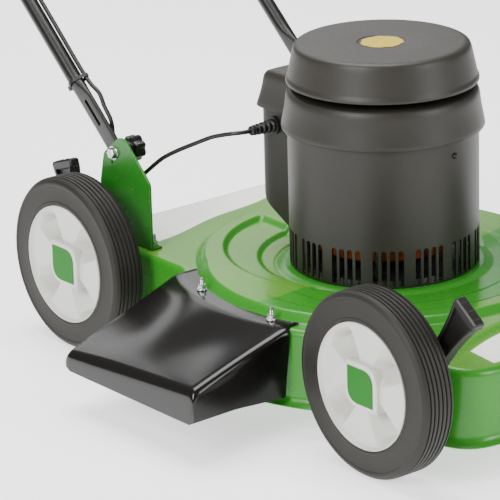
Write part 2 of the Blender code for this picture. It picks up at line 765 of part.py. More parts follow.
def make_rotor(parent):
    """Everything that turns with the motor's shaft."""
    fan_foot = STATOR_FOOT + STATOR_HEIGHT + 0.042
    hub_top = MOTOR_BASE - 0.022
    shaft_foot = BLADE_HEIGHT + BLADE_THICKNESS + 0.014
    turned(
        "rotor_shaft",
        [(0, fan_foot + 0.018), (SHAFT_RADIUS, fan_foot + 0.018), (SHAFT_RADIUS, shaft_foot), (0, shaft_foot)],
        "steel", (0, 0, 0), parent, 24,
    )
    grip = SHAFT_RADIUS + GAP
    turned(
        "rotor_core",
        ring_profile(grip, MOTOR_ROTOR_RADIUS, STATOR_FOOT + 0.001, STATOR_FOOT + STATOR_HEIGHT - 0.001),
        "laminated_steel", (0, 0, 0), parent, 32, closed=True,
    )
    fan = turned(
        "cooling_fan", ring_profile(grip, 0.088, fan_foot, fan_foot + 0.003),
        "black_plastic", (0, 0, 0), parent, 32, closed=True,
    )
    join(fan, turned(
        "fan_hub", ring_profile(grip, 0.018, fan_foot - 0.002, fan_foot + 0.012), None, (0, 0, 0), parent,
        32, closed=True,
    ))
    for i in range(6):
        angle = 2 * pi * i / 6
        vane = block("fan_vane", (0.016, -0.001, fan_foot + 0.001), (0.084, 0.001, fan_foot + 0.015), None, parent)
        vane.data.transform(Matrix.Rotation(angle, 4, "Z") @ Matrix.Translation(vane.location))
        vane.location = (0, 0, 0)
        join(fan, vane)
    blade_top = BLADE_HEIGHT + BLADE_THICKNESS
    hub = turned(
        "blade_hub",
        [(0.0165, hub_top), (0.0165, blade_top + 0.012), (0.032, blade_top + 0.008),
         (0.032, blade_top + GAP), (0.0055, blade_top + GAP), (0.0055, shaft_foot - GAP),
         (grip, shaft_foot - GAP), (grip, hub_top)],
        "cast_aluminium", (0, 0, 0), parent, 24, closed=True,
    )
    half, tip = BLADE_WIDTH / 2, BLADE_LENGTH / 2
    shoulder = 0.085
    outline = [
        (tip, -half), (tip, half * 0.55), (tip - shoulder, half), (-tip, half), (-tip, -half * 0.55),
        (shoulder - tip, -half),
    ]
    plate(
        "blade", [outline, circle((0, 0), 0.0055, 16)], BLADE_THICKNESS, "steel",
        (0, 0, BLADE_HEIGHT + BLADE_THICKNESS / 2), parent,
    )
    turned(
        "blade_bolt",
        [(0, blade_top + 0.012), (0.005, blade_top + 0.012), (0.005, BLADE_HEIGHT - GAP),
         (0.013, BLADE_HEIGHT - GAP), (0.013, BLADE_HEIGHT - 0.009), (0, BLADE_HEIGHT - 0.009)],
        "zinc", (0, 0, 0), parent, 16,
    )
    return hub


# Wheels and height levers


def hub_cap_outline(side_length, flip):
    """Square with two opposite corners sharp and two well rounded."""
    half, radius = side_length / 2, 0.3 * side_length
    rounded_far = arc((half - radius, half - radius), radius, 0, pi / 2, 6)
    rounded_near = arc((radius - half, radius - half), radius, pi, 1.5 * pi, 6)
    points = [*rounded_far, (-half, half), *rounded_near, (half, -half)]
    return [(-x, y) for x, y in reversed(points)] if flip else points


def make_wheel(corner, side, axle, parent):
    """Tyre, rim and hub cap about the axle; the outside of the wheel looks along side."""
    half = TYRE_WIDTH / 2
    outward = (0, side * pi / 2, 0)
    turned(
        f"tyre_{corner}",
        [(WHEEL_RADIUS - 0.003, half), (WHEEL_RADIUS, half - 0.005), (WHEEL_RADIUS, 0.005 - half),
         (WHEEL_RADIUS - 0.003, -half), (RIM_RADIUS + GAP, -half), (RIM_RADIUS + GAP, half)],
        "tyre_rubber", axle, parent, 36, closed=True, turn=outward,
    )
    bore = AXLE_RADIUS + RUNNING
    face = half - 0.010
    turned(
        f"rim_{corner}",
        [(RIM_RADIUS, half - 0.001), (RIM_RADIUS, 0.001 - half), (RIM_RADIUS - 0.004, 0.001 - half),
         (RIM_RADIUS - 0.007, -0.004), (HUB_RADIUS, -0.004), (HUB_RADIUS, -half - 0.003), (bore, -half - 0.003),
         (bore, face - 0.010), (0.014, face - 0.010), (0.014, face), (0.033, face),
         (0.040, 0.002), (RIM_RADIUS - 0.010, 0.002), (RIM_RADIUS - 0.004, half - 0.001)],
        "rim_plastic", axle, parent, 24, closed=True, turn=outward,
    )
    flip = side < 0
    turn = (pi / 2, 0, pi / 2)
    plate(
        f"hub_cap_{corner}", [hub_cap_outline(CAP_SIDE, flip)], 0.004, "cap_green",
        Vector(axle) + Vector((side * (face + GAP + 0.002), 0, 0)), parent, turn,
    )


def arm_outline(length, direction):
    """Arm of a lever in its own plane, from the pivot: it widens towards its paddle."""
    across = Vector((direction.y, -direction.x))
    ends = ((0.0, -0.30), (0.55 * length, -0.38), (length, -0.5), (length, 0.5), (0.55 * length, 0.38),
            (0.0, 0.30))
    return [tuple(direction * along + across * share * LEVER_WIDTH) for along, share in ends]


def make_height_lever(corner, side, away, deck, root):
    """Crank with its pivot pin, wheel axle and paddle; away is -1 at the front."""
    axle_y = REAR_AXLE if away > 0 else -FRONT_AXLE
    angle = REAR_LEVER_ANGLE if away > 0 else FRONT_LEVER_ANGLE
    length = REAR_LEVER_LENGTH if away > 0 else FRONT_LEVER_LENGTH
    axle = Vector((side * WHEEL_X, axle_y, WHEEL_RADIUS))
    pivot = Vector((0, axle_y + away * CRANK, WHEEL_RADIUS))
    inner = HALF_DECK + SIDE_CLEARANCE
    lever_axis = empty_at(f"lever_axis_{corner}", (side * inner, pivot.y, pivot.z), root)
    middle = side * (inner + LEVER_THICKNESS / 2)
    turn = (pi / 2, 0, pi / 2)
    axle_hole = circle((-away * CRANK, 0), AXLE_RADIUS * 0.8 + GAP, 12)
    centre = (middle, pivot.y, pivot.z)
    crank = slot_outline((-away * CRANK / 2, 0), CRANK + 2 * LEVER_BOSS, 2 * LEVER_BOSS, 0)
    lever = as_mesh(plate(
        f"height_lever_{corner}", [crank, axle_hole], LEVER_THICKNESS, "black_plastic",
        centre, lever_axis, turn,
    ))
    lever.data.materials.clear()
    dress(lever, "black_plastic")
    direction = Vector((0, away * cos(angle), sin(angle)))
    half = LEVER_THICKNESS / 2 - GAP
    join(lever, prism(
        f"lever_arm_{corner}", arm_outline(length, Vector((away * cos(angle), sin(angle)))), -half, half,
        None, centre, lever_axis, turn,
    ))
    bar = block(
        f"paddle_bar_{corner}", (-PADDLE_WIDTH / 2, -PADDLE_LENGTH / 2, -PADDLE_THICKNESS / 2),
        (PADDLE_WIDTH / 2, PADDLE_LENGTH / 2, PADDLE_THICKNESS / 2), None, lever_axis, 0.003,
    )
    bar_centre = Vector((side * (inner + LEVER_THICKNESS - PADDLE_WIDTH / 2 + 0.005), pivot.y, pivot.z))
    put(bar, bar_centre + direction * length, lever_axis, (atan2(-direction.y, direction.z), 0, 0))
    join(lever, bar)

    outward = (0, side * pi / 2, 0)
    wall = Vector((side * HALF_DECK, pivot.y, pivot.z))
    pin_start = wall - Vector((side * (SHEET + 0.008), 0, 0))
    pin_end = wall + Vector((side * (SIDE_CLEARANCE + LEVER_THICKNESS + 0.003), 0, 0))
    join(lever, cylinder_between(f"lever_pin_{corner}", pin_start, pin_end, PIVOT_RADIUS, lever_axis, 16))
    drill(
        deck, f"lever_hole_{corner}", wall - Vector((side * 0.02, 0, 0)), wall + Vector((side * 0.02, 0, 0)),
        PIVOT_RADIUS + RUNNING, root,
    )
    reach = WHEEL_X + TYRE_WIDTH / 2 - 0.010 - 0.002 - inner - LEVER_THICKNESS
    turned(
        f"wheel_axle_{corner}",
        [(0, reach), (0.010, reach), (0.010, reach - 0.005), (AXLE_RADIUS, reach - 0.005), (AXLE_RADIUS, GAP),
         (AXLE_RADIUS * 0.8, GAP), (AXLE_RADIUS * 0.8, -LEVER_THICKNESS - 0.002), (0, -LEVER_THICKNESS - 0.002)],
        "zinc", (side * (inner + LEVER_THICKNESS), axle_y, WHEEL_RADIUS), lever_axis, 16, turn=outward,
    )
    wheel_axis = empty_at(f"wheel_axis_{corner}", axle, lever_axis)
    make_wheel(corner, side, axle, wheel_axis)


# Handle


def bracket_outline():
    """Handle bracket in the plane of the fold, from the pivot: (y, z) points."""
    foot = DECK_TOP + GAP - PIVOT_Z
    return [
        (-0.073, foot), (-0.073, -0.025), (-0.026, 0.0205), (-0.018, 0.0225), (-0.010, 0.0215),
        (0.0215, -0.004), (0.0305, -0.042), (0.0305, foot),
    ]


def make_bracket(hand, side, deck, root):
    """Upright plate with its foot turned inwards, bolted to the deck."""
    tab = HANDLE_HALF_WIDTH + LEG_TAB / 2 + GAP
    middle = side * (tab + BRACKET_SHEET / 2)
    turn = (pi / 2, 0, pi / 2)
    bracket = as_mesh(plate(
        f"handle_bracket_{hand}",
        [bracket_outline(), circle((0, 0), PIVOT_BOLT_RADIUS + GAP, 16),
         slot_outline((0.003, -0.0125), 0.007, 0.004, radians(80))],
        BRACKET_SHEET, "green_enamel", (middle, PIVOT_Y, PIVOT_Z), root, turn,
    ))
    bracket.data.materials.clear()
    dress(bracket, "green_enamel")
    foot_low = DECK_TOP + GAP
    inner = side * (tab - 0.014)
    outer = side * (tab + BRACKET_SHEET)
    foot = block(
        f"bracket_foot_{hand}", (min(inner, outer), PIVOT_Y - 0.073, foot_low),
        (max(inner, outer), PIVOT_Y + 0.0305, foot_low + BRACKET_SHEET), None, root,
    )
    join(bracket, foot)
    place = Vector((side * (tab - 0.007), PIVOT_Y - 0.064, 0))
    low, high = place + Vector((0, 0, DECK_TOP - 0.02)), place + Vector((0, 0, DECK_TOP + 0.02))
    drill(deck, f"foot_hole_deck_{hand}", low, high, 0.003 + GAP, root)
    drill(bracket, f"foot_hole_{hand}", low, high, 0.003 + GAP, root)
    make_bolt(
        f"bracket_bolt_{hand}", place + Vector((0, 0, DECK_TOP - SHEET - GAP)), Vector((0, 0, 1)),
        0.003, 0.015, 2 * GAP + SHEET + BRACKET_SHEET, root,
    )


def make_pivot_bolt(hand, side, root):
    """Hex bolt through the bracket and the leg, with its clamp knob on the inner end."""
    tab = HANDLE_HALF_WIDTH + LEG_TAB / 2 + GAP
    seat = Vector((side * (tab + BRACKET_SHEET + GAP), PIVOT_Y, PIVOT_Z))
    inward = (0, -side * pi / 2, 0)
    shank = BRACKET_SHEET + LEG_TAB + 3 * GAP + KNOB_BOSS + KNOB_THICKNESS * 0.4
    bolt = turned(
        f"pivot_bolt_{hand}",
        [(0, shank), (PIVOT_BOLT_RADIUS, shank), (PIVOT_BOLT_RADIUS, -0.001), (0, -0.001)],
        "zinc", seat, root, 16, turn=inward,
    )
    join(bolt, prism(f"pivot_head_{hand}", hexagon(0.0072), -0.0055, 0, None, seat, root, inward))
    knob_axis = empty_at(f"knob_axis_{hand}", (side * (HANDLE_HALF_WIDTH - LEG_TAB / 2 - GAP), PIVOT_Y, PIVOT_Z), root)
    hole = PIVOT_BOLT_RADIUS + RUNNING
    knob = turned(
        f"clamp_knob_{hand}",
        [(hole, KNOB_BOSS + 0.001), (0.010, KNOB_BOSS + 0.001), (0.009, 0), (hole, 0)],
        "black_plastic", ORIGINS[knob_axis.name], knob_axis, 20, closed=True, turn=inward,
    )
    knob.modifiers["turn"].use_normal_flip = False
    lobes = 7
    outline = []
    for i in range(56):
        angle = 2 * pi * i / 56
        outline.append(((KNOB_RADIUS - 0.0017 + 0.0017 * cos(lobes * angle)) * cos(angle),
                        (KNOB_RADIUS - 0.0017 + 0.0017 * cos(lobes * angle)) * sin(angle)))
    head = prism(
        f"knob_lobes_{hand}", outline, KNOB_BOSS, KNOB_BOSS + KNOB_THICKNESS, None,
        ORIGINS[knob_axis.name], knob_axis, inward,
    )
    join(knob, head)
    cut(knob, cylinder_between(
        f"knob_bore_{hand}", ORIGINS[knob_axis.name] + Vector((side * 0.01, 0, 0)),
        ORIGINS[knob_axis.name] - Vector((side * (KNOB_BOSS + KNOB_THICKNESS * 0.6), 0, 0)),
        hole, knob_axis, 16,
    ))


def leg_point(along, lift=0.0, x=0.0):
    """Point a distance up the legs from the fold pivot."""
    return PIVOT + LEG_DIRECTION * along + LEG_NORMAL * lift + Vector((x, 0, 0))


def make_handle_tube(parent):
    """One bent tube: two legs and a top bar. Each lower end is pressed flat, with a slot."""
    bend = 0.050
    half = HANDLE_HALF_WIDTH
    start = 0.105
    route = [leg_point(start, x=-half)]
    for corner_x, turn_start in ((-1, pi), (1, pi / 2)):
        centre_x = corner_x * (half - bend)
        for x, along in arc((centre_x, HANDLE_LENGTH - bend), bend, turn_start, turn_start - pi / 2, 6):
            route.append(leg_point(along, x=x))
    route.append(leg_point(start, x=half))
    frame = as_mesh(tube("handle_tube", route, TUBE_RADIUS, "handle_enamel", parent, 3))
    frame.data.materials.clear()
    dress(frame, "handle_enamel")
    turn = (pi / 2, 0, pi / 2)
    across = 0.0125
    for hand, side in (("right", -1), ("left", 1)):
        outline = arc((0, 0), across, HANDLE_ANGLE + pi / 2, HANDLE_ANGLE + 1.5 * pi, 8)
        for along, half_width in ((0.085, across), (0.120, TUBE_RADIUS * 0.9), (0.120, -TUBE_RADIUS * 0.9),
                                  (0.085, -across)):
            place = LEG_DIRECTION * along - LEG_NORMAL * half_width
            outline.append((place.y, place.z))
        middle = LEG_DIRECTION * 0.062
        tab = as_mesh(plate(
            f"leg_tab_{hand}",
            [outline, circle((0, 0), PIVOT_BOLT_RADIUS + GAP, 16),
             slot_outline((middle.y, middle.z), 0.040, 0.005, HANDLE_ANGLE)],
            LEG_TAB, None, (side * half, PIVOT_Y, PIVOT_Z), parent, turn,
        ))
        join(frame, tab)
    return frame


def make_grip(parent):
    half = GRIP_LENGTH / 2
    middle = leg_point(HANDLE_LENGTH)
    inner = TUBE_RADIUS + GAP
    outer = inner + GRIP_WALL
    turned(
        "grip_sleeve",
        [(outer - 0.001, half), (outer, half - 0.002), (outer, 0.002 - half), (outer - 0.001, -half),
         (inner, -half), (inner, half)],
        "foam_grip", middle, parent, 20, closed=True, turn=(0, pi / 2, 0),
    )


def make_switch_box(handle):
    """Box on the right leg, with its push button and a gland for the mains cable in its lower end."""
    width, length, depth = BOX_SIZE
    down = HANDLE_LENGTH - BOX_DOWN_LEG
    x = -HANDLE_HALF_WIDTH + TUBE_RADIUS + GAP + width / 2
    centre = leg_point(down, x=x)
    slope = (HANDLE_ANGLE, 0, 0)
    box = block("switch_box", Vector(BOX_SIZE) / -2, Vector(BOX_SIZE) / 2, "black_plastic", handle, 0.006)
    put(box, centre, handle, slope)
    foot_face = leg_point(down - length / 2, -0.008, x + 0.010)
    join(box, cylinder_between(
        "mains_gland", foot_face + LEG_DIRECTION * 0.005, foot_face - LEG_DIRECTION * GLAND_LENGTH,
        0.009, handle, 16,
    ))
    face = leg_point(down + 0.028, depth / 2, x)
    shaft_depth = 0.014
    cut(box, cylinder_between(
        "button_hole", face - LEG_NORMAL * shaft_depth, face + LEG_NORMAL * 0.01,
        BUTTON_RADIUS + RUNNING, handle, 20,
    ))
    button_axis = empty_at("button_axis", face, handle)
    foot = face - LEG_NORMAL * (shaft_depth - 0.009)
    top = face + LEG_NORMAL * BUTTON_PROUD
    cylinder_between("safety_button", foot, top, BUTTON_RADIUS, button_axis, 20, "red_plastic")
    return x


def make_bail(handle):
    """Spring-loaded bail: a bent rod that is pulled up to the top bar to run the motor."""
    pivot_along = HANDLE_LENGTH - BAIL_OFFSET
    axis = empty_at("bail_axis", leg_point(pivot_along), handle)
    inner = HANDLE_HALF_WIDTH - TUBE_RADIUS - GAP
    reach = BAIL_OFFSET
    bend = 0.025
    swing = Matrix.Rotation(-BAIL_ANGLE, 3, "X")
    flat = [(inner - 0.001, 0.0), (inner - 0.010, 0.0)]
    flat += arc((inner - 0.010, 0.010), 0.010, -pi / 2, -pi, 4)[1:]
    flat += arc((inner - 0.020 - bend, reach - bend), bend, 0, pi / 2, 5)
    half = [Vector((x, 0, 0)) + LEG_DIRECTION * along for x, along in flat]
    route = half + [Vector((-p.x, p.y, p.z)) for p in reversed(half)]
    centre = leg_point(pivot_along)
    return tube("bail_lever", [centre + swing @ p for p in route], BAIL_RADIUS, "handle_enamel", axis, 2)


# Lead


# Right of the motor, over to the right leg and up to its fold: chosen by eye, from the motor's axis.
LEAD_POINTS = (
    (-0.1006, 0.1320, 0.2930),
    (-0.1060, 0.1320, 0.2930),
    (-0.1125, 0.1400, 0.2925),
    (-0.1175, 0.1570, 0.2890),
    (-0.1235, 0.1800, 0.2795),
    (-0.1290, 0.2020, 0.2685),
    (-0.1350, 0.2320, 0.2535),
    (-0.1405, 0.2550, 0.2400),
    (-0.1450, 0.2720, 0.2260),
    (-0.1490, 0.2870, 0.2130),
    (-0.1530, 0.3020, 0.2060),
    (-0.1565, 0.3180, 0.2080),
    (-0.1585, 0.3300, 0.2200),
    (-0.1590, 0.3340, 0.2380),
)
HANDLE_LEAD_START = (
    (-0.1590, 0.3340, 0.2390),
    (-0.1590, 0.3340, 0.2560),
    (-0.1590, 0.3370, 0.2740),
    (-0.1590, 0.3500, 0.2900),
)


def make_leads(handle, root, box_x):
    tip = -BOX_HALF_WIDTH - RELIEF_LENGTH - 4 * GAP
    first = Vector((tip, *RELIEF_PLACE))
    second = Vector((tip - 0.005, *RELIEF_PLACE))
    tube("motor_lead", blended([first, second, *LEAD_POINTS[2:]], 2), LEAD_RADIUS, "lead_sheath", root, 2)
    beside = TUBE_RADIUS + LEAD_RADIUS + 4 * GAP
    x = -HANDLE_HALF_WIDTH + beside * cos(radians(50))
    lift = beside * sin(radians(50))
    box_foot = HANDLE_LENGTH - BOX_DOWN_LEG - BOX_SIZE[1] / 2
    climb = [leg_point(TIE_DOWN_LEG - 0.030, lift + 0.004, x + 0.002), leg_point(TIE_DOWN_LEG, lift, x)]
    steps = 6
    for i in range(1, steps + 1):
        along = TIE_DOWN_LEG + (box_foot - 0.060 - TIE_DOWN_LEG) * i / steps
        climb.append(leg_point(along, lift, x))
    entry_x = box_x - 0.009
    climb += [
        leg_point(box_foot - 0.015, BOX_LEAD_LIFT, entry_x),
        leg_point(box_foot - 2 * GAP, BOX_LEAD_LIFT, entry_x),
    ]
    tube("handle_lead", blended([*HANDLE_LEAD_START, *climb], 2), LEAD_RADIUS, "lead_sheath", handle, 2)
    make_tie(handle, x, lift)


def make_tie(handle, lead_x, lead_lift):
    """Cable tie round the leg and the lead: the outline of a band stretched over two circles."""
    band = 0.0009
    leg = Vector((-HANDLE_HALF_WIDTH, 0))
    lead = Vector((lead_x, lead_lift))
    gap = band + GAP
    between = (lead - leg).length
    axis = atan2(lead.y - leg.y, lead.x - leg.x)
    tilt = acos((TUBE_RADIUS - LEAD_RADIUS) / between)
    outline = arc(lead, LEAD_RADIUS + gap, axis - tilt, axis + tilt, 6)
    outline += arc(leg, TUBE_RADIUS + gap, axis + tilt, axis + 2 * pi - tilt, 14)
    route = [leg_point(TIE_DOWN_LEG + 0.020, lift, x) for x, lift in outline]
    tube("cable_tie", route, band, "black_plastic", handle, 1, cyclic=True)


def stand_on_origin(root):
    """Moves the whole mower so that the middle of its box stands on the world origin."""
    bpy.context.view_layer.update()
    graph = bpy.context.evaluated_depsgraph_get()
    corners = []
    for obj in COLLECTIONS["parts"].objects:
        if obj.type == "EMPTY":
            continue
        shape = obj.evaluated_get(graph)
        mesh = shape.to_mesh()
        corners += [obj.matrix_world @ v.co for v in mesh.vertices]
        shape.to_mesh_clear()
    low = Vector(min(c[i] for c in corners) for i in range(3))
    high = Vector(max(c[i] for c in corners) for i in range(3))
    root.location = (-(low.x + high.x) / 2, -(low.y + high.y) / 2, -low.z)


def main():
    clear_scene()
    make_collections()
    make_materials()
    root = empty_at("mower_root", (0, 0, 0))
    deck = make_deck(root)
    make_chute(deck, root)
    make_covers(root)
    make_cap(root)
    make_motor_inside(root)
    rotor_axis = empty_at("rotor_axis", (0, 0, BLADE_HEIGHT), root)
    rotor = empty_at("rotor_body", (0, 0, 0), rotor_axis)
    make_rotor(rotor)
    for corner, side, away in (
        ("front_right", -1, -1), ("front_left", 1, -1), ("rear_right", -1, 1), ("rear_left", 1, 1),
    ):
        make_height_lever(corner, side, away, deck, root)
    handle_axis = empty_at("handle_axis", PIVOT, root)
    for hand, side in (("right", -1), ("left", 1)):
        make_bracket(hand, side, deck, root)
        make_pivot_bolt(hand, side, root)
    make_handle_tube(handle_axis)
    make_grip(handle_axis)
    box_x = make_switch_box(handle_axis)
    make_bail(handle_axis)
    make_leads(handle_axis, root, box_x)
    stand_on_origin(root)


main()
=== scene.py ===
"""Visual model of a walk-behind electric rotary mower with a side-discharge chute.

Lengths are metres. Shapes are worked out from the motor's axis on the ground, with the mower's front
at -Y, its handle at +Y and the chute at -X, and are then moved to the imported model's own frame.
"""

import json
import logging
import math
from dataclasses import dataclass
from enum import Enum
from typing import Iterable, Optional, Sequence

import bmesh
import bpy
import numpy as np
from mathutils import Matrix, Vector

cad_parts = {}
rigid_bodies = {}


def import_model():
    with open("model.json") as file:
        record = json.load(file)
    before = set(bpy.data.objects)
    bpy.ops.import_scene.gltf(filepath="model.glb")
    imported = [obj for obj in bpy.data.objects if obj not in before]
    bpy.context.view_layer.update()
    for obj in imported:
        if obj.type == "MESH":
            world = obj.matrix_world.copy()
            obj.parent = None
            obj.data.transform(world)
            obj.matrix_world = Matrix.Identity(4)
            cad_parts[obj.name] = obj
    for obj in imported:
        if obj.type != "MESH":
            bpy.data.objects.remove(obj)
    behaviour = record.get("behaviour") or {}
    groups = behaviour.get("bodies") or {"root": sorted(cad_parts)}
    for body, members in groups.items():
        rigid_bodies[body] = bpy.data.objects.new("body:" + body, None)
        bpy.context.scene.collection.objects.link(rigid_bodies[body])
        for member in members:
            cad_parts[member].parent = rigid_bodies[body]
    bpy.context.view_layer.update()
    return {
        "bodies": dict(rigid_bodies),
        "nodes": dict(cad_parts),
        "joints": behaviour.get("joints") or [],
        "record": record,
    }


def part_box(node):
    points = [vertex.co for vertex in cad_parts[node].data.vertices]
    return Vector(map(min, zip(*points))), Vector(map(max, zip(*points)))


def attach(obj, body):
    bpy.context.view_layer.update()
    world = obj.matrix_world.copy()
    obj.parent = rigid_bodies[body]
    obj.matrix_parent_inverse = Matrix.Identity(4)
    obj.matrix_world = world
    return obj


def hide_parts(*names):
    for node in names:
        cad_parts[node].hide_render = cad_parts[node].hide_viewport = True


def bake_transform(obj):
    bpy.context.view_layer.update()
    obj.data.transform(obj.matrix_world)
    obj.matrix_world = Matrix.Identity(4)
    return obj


LOG = logging.getLogger("mower")
Array = np.ndarray
MM = 0.001
WHEEL_RADIUS = 0.110
LEAD_RADIUS = 0.00275
BOLT_HOLE = 0.0043


class Side(Enum):
    """Side of the mower, as seen from behind the handle; the value is the sign of X."""

    RIGHT = -1
    LEFT = 1


class End(Enum):
    """End of the mower; the value is the sign of Y."""

    FRONT = -1
    REAR = 1


# Materials


def linear(code: str) -> tuple[float, float, float, float]:
    """Turns an sRGB hex colour into linear values.

    Args:
        code: colour as "#RRGGBB".

    Returns:
        Linear red, green, blue and an alpha of 1.
    """
    parts = [int(code[i : i + 2], 16) / 255 for i in (1, 3, 5)]
    bent = [p / 12.92 if p <= 0.04045 else ((p + 0.055) / 1.055) ** 2.4 for p in parts]
    return (*bent, 1.0)


def add_node(
    tree: bpy.types.NodeTree, kind: str, inputs: Optional[dict] = None, **settings: object
) -> bpy.types.Node:
    """Adds a node with its settings, values and links.

    Args:
        tree: node tree that takes the node.
        kind: node type, without the leading ShaderNode.
        inputs: socket name or number to a constant, or to the socket that feeds it.
        settings: node properties.

    Returns:
        The new node.
    """
    node = tree.nodes.new(f"ShaderNode{kind}")
    for key, value in settings.items():
        setattr(node, key, value)
    for key, value in (inputs or {}).items():
        if isinstance(value, bpy.types.NodeSocket):
            tree.links.new(value, node.inputs[key])
        else:
            node.inputs[key].default_value = value
    return node


@dataclass(frozen=True)
class Finish:
    """Surface of one real material: two close colours mottled together, with a fine grain."""

    name: str
    colour: str
    shade: str
    roughness: float
    spread: float = 0.05
    metallic: float = 0.0
    ior: float = 1.5
    coat: float = 0.0
    grain_mm: float = 0.8
    bump_mm: float = 0.02
    mottle_mm: float = 30.0
    stretch: tuple[float, float, float] = (1.0, 1.0, 1.0)

    def tone(self, tree: bpy.types.NodeTree, place: bpy.types.NodeSocket) -> bpy.types.NodeSocket:
        """Mixes the two colours by soft patches.

        Args:
            tree: material's node tree.
            place: position that drives the pattern.

        Returns:
            Colour socket.
        """
        cloud = add_node(
            tree, "TexNoise", {"Vector": place, "Scale": 1000 / self.mottle_mm, "Detail": 3.0}
        )
        mix = add_node(
            tree, "Mix", {0: cloud.outputs["Fac"], 6: linear(self.colour), 7: linear(self.shade)},
            data_type="RGBA",
        )
        return mix.outputs[2]

    def relief(
        self, tree: bpy.types.NodeTree, place: bpy.types.NodeSocket
    ) -> bpy.types.NodeSocket:
        """Height of the fine grain, from 0 to 1."""
        grain = add_node(
            tree, "TexNoise", {"Vector": place, "Scale": 1000 / self.grain_mm, "Detail": 4.0}
        )
        return grain.outputs["Fac"]

    def make(self, centre: Sequence[float]) -> bpy.types.Material:
        """Builds the material.

        Args:
            centre: point that patterns are centred on.

        Returns:
            Node-based material.
        """
        made = bpy.data.materials.new(self.name)
        made.use_nodes = True
        tree = made.node_tree
        shader = tree.nodes["Principled BSDF"]
        coords = add_node(tree, "TexCoord")
        moved = add_node(
            tree, "Mapping",
            {"Vector": coords.outputs["Object"], "Location": [-c for c in centre]},
        )
        place = add_node(
            tree, "VectorMath", {0: moved.outputs[0], 1: self.stretch}, operation="MULTIPLY"
        ).outputs[0]
        relief = self.relief(tree, place)
        rough = add_node(
            tree, "MapRange",
            {"Value": relief, "To Min": self.roughness - self.spread,
             "To Max": self.roughness + self.spread},
        )
        bump = add_node(
            tree, "Bump", {"Height": relief, "Strength": 0.5, "Distance": self.bump_mm * MM}
        )
        tree.links.new(self.tone(tree, place), shader.inputs["Base Color"])
        tree.links.new(rough.outputs[0], shader.inputs["Roughness"])
        tree.links.new(bump.outputs[0], shader.inputs["Normal"])
        shader.inputs["Metallic"].default_value = self.metallic
        shader.inputs["IOR"].default_value = self.ior
        shader.inputs["Coat Weight"].default_value = self.coat
        shader.inputs["Coat Roughness"].default_value = 0.1
        return made


@dataclass(frozen=True)
class Banded(Finish):
    """Finish with fine even bands across one axis, such as wound wire or stacked laminations."""

    pitch_mm: float = 1.4
    axis: str = "Z"

    def relief(
        self, tree: bpy.types.NodeTree, place: bpy.types.NodeSocket
    ) -> bpy.types.NodeSocket:
        """Height of the bands, a sine of the position along their axis."""
        wave = add_node(
            tree, "TexWave",
            {"Vector": place, "Scale": 1000 / self.pitch_mm / 20 * math.pi, "Distortion": 0.4},
            bands_direction=self.axis,
        )
        return wave.outputs["Fac"]


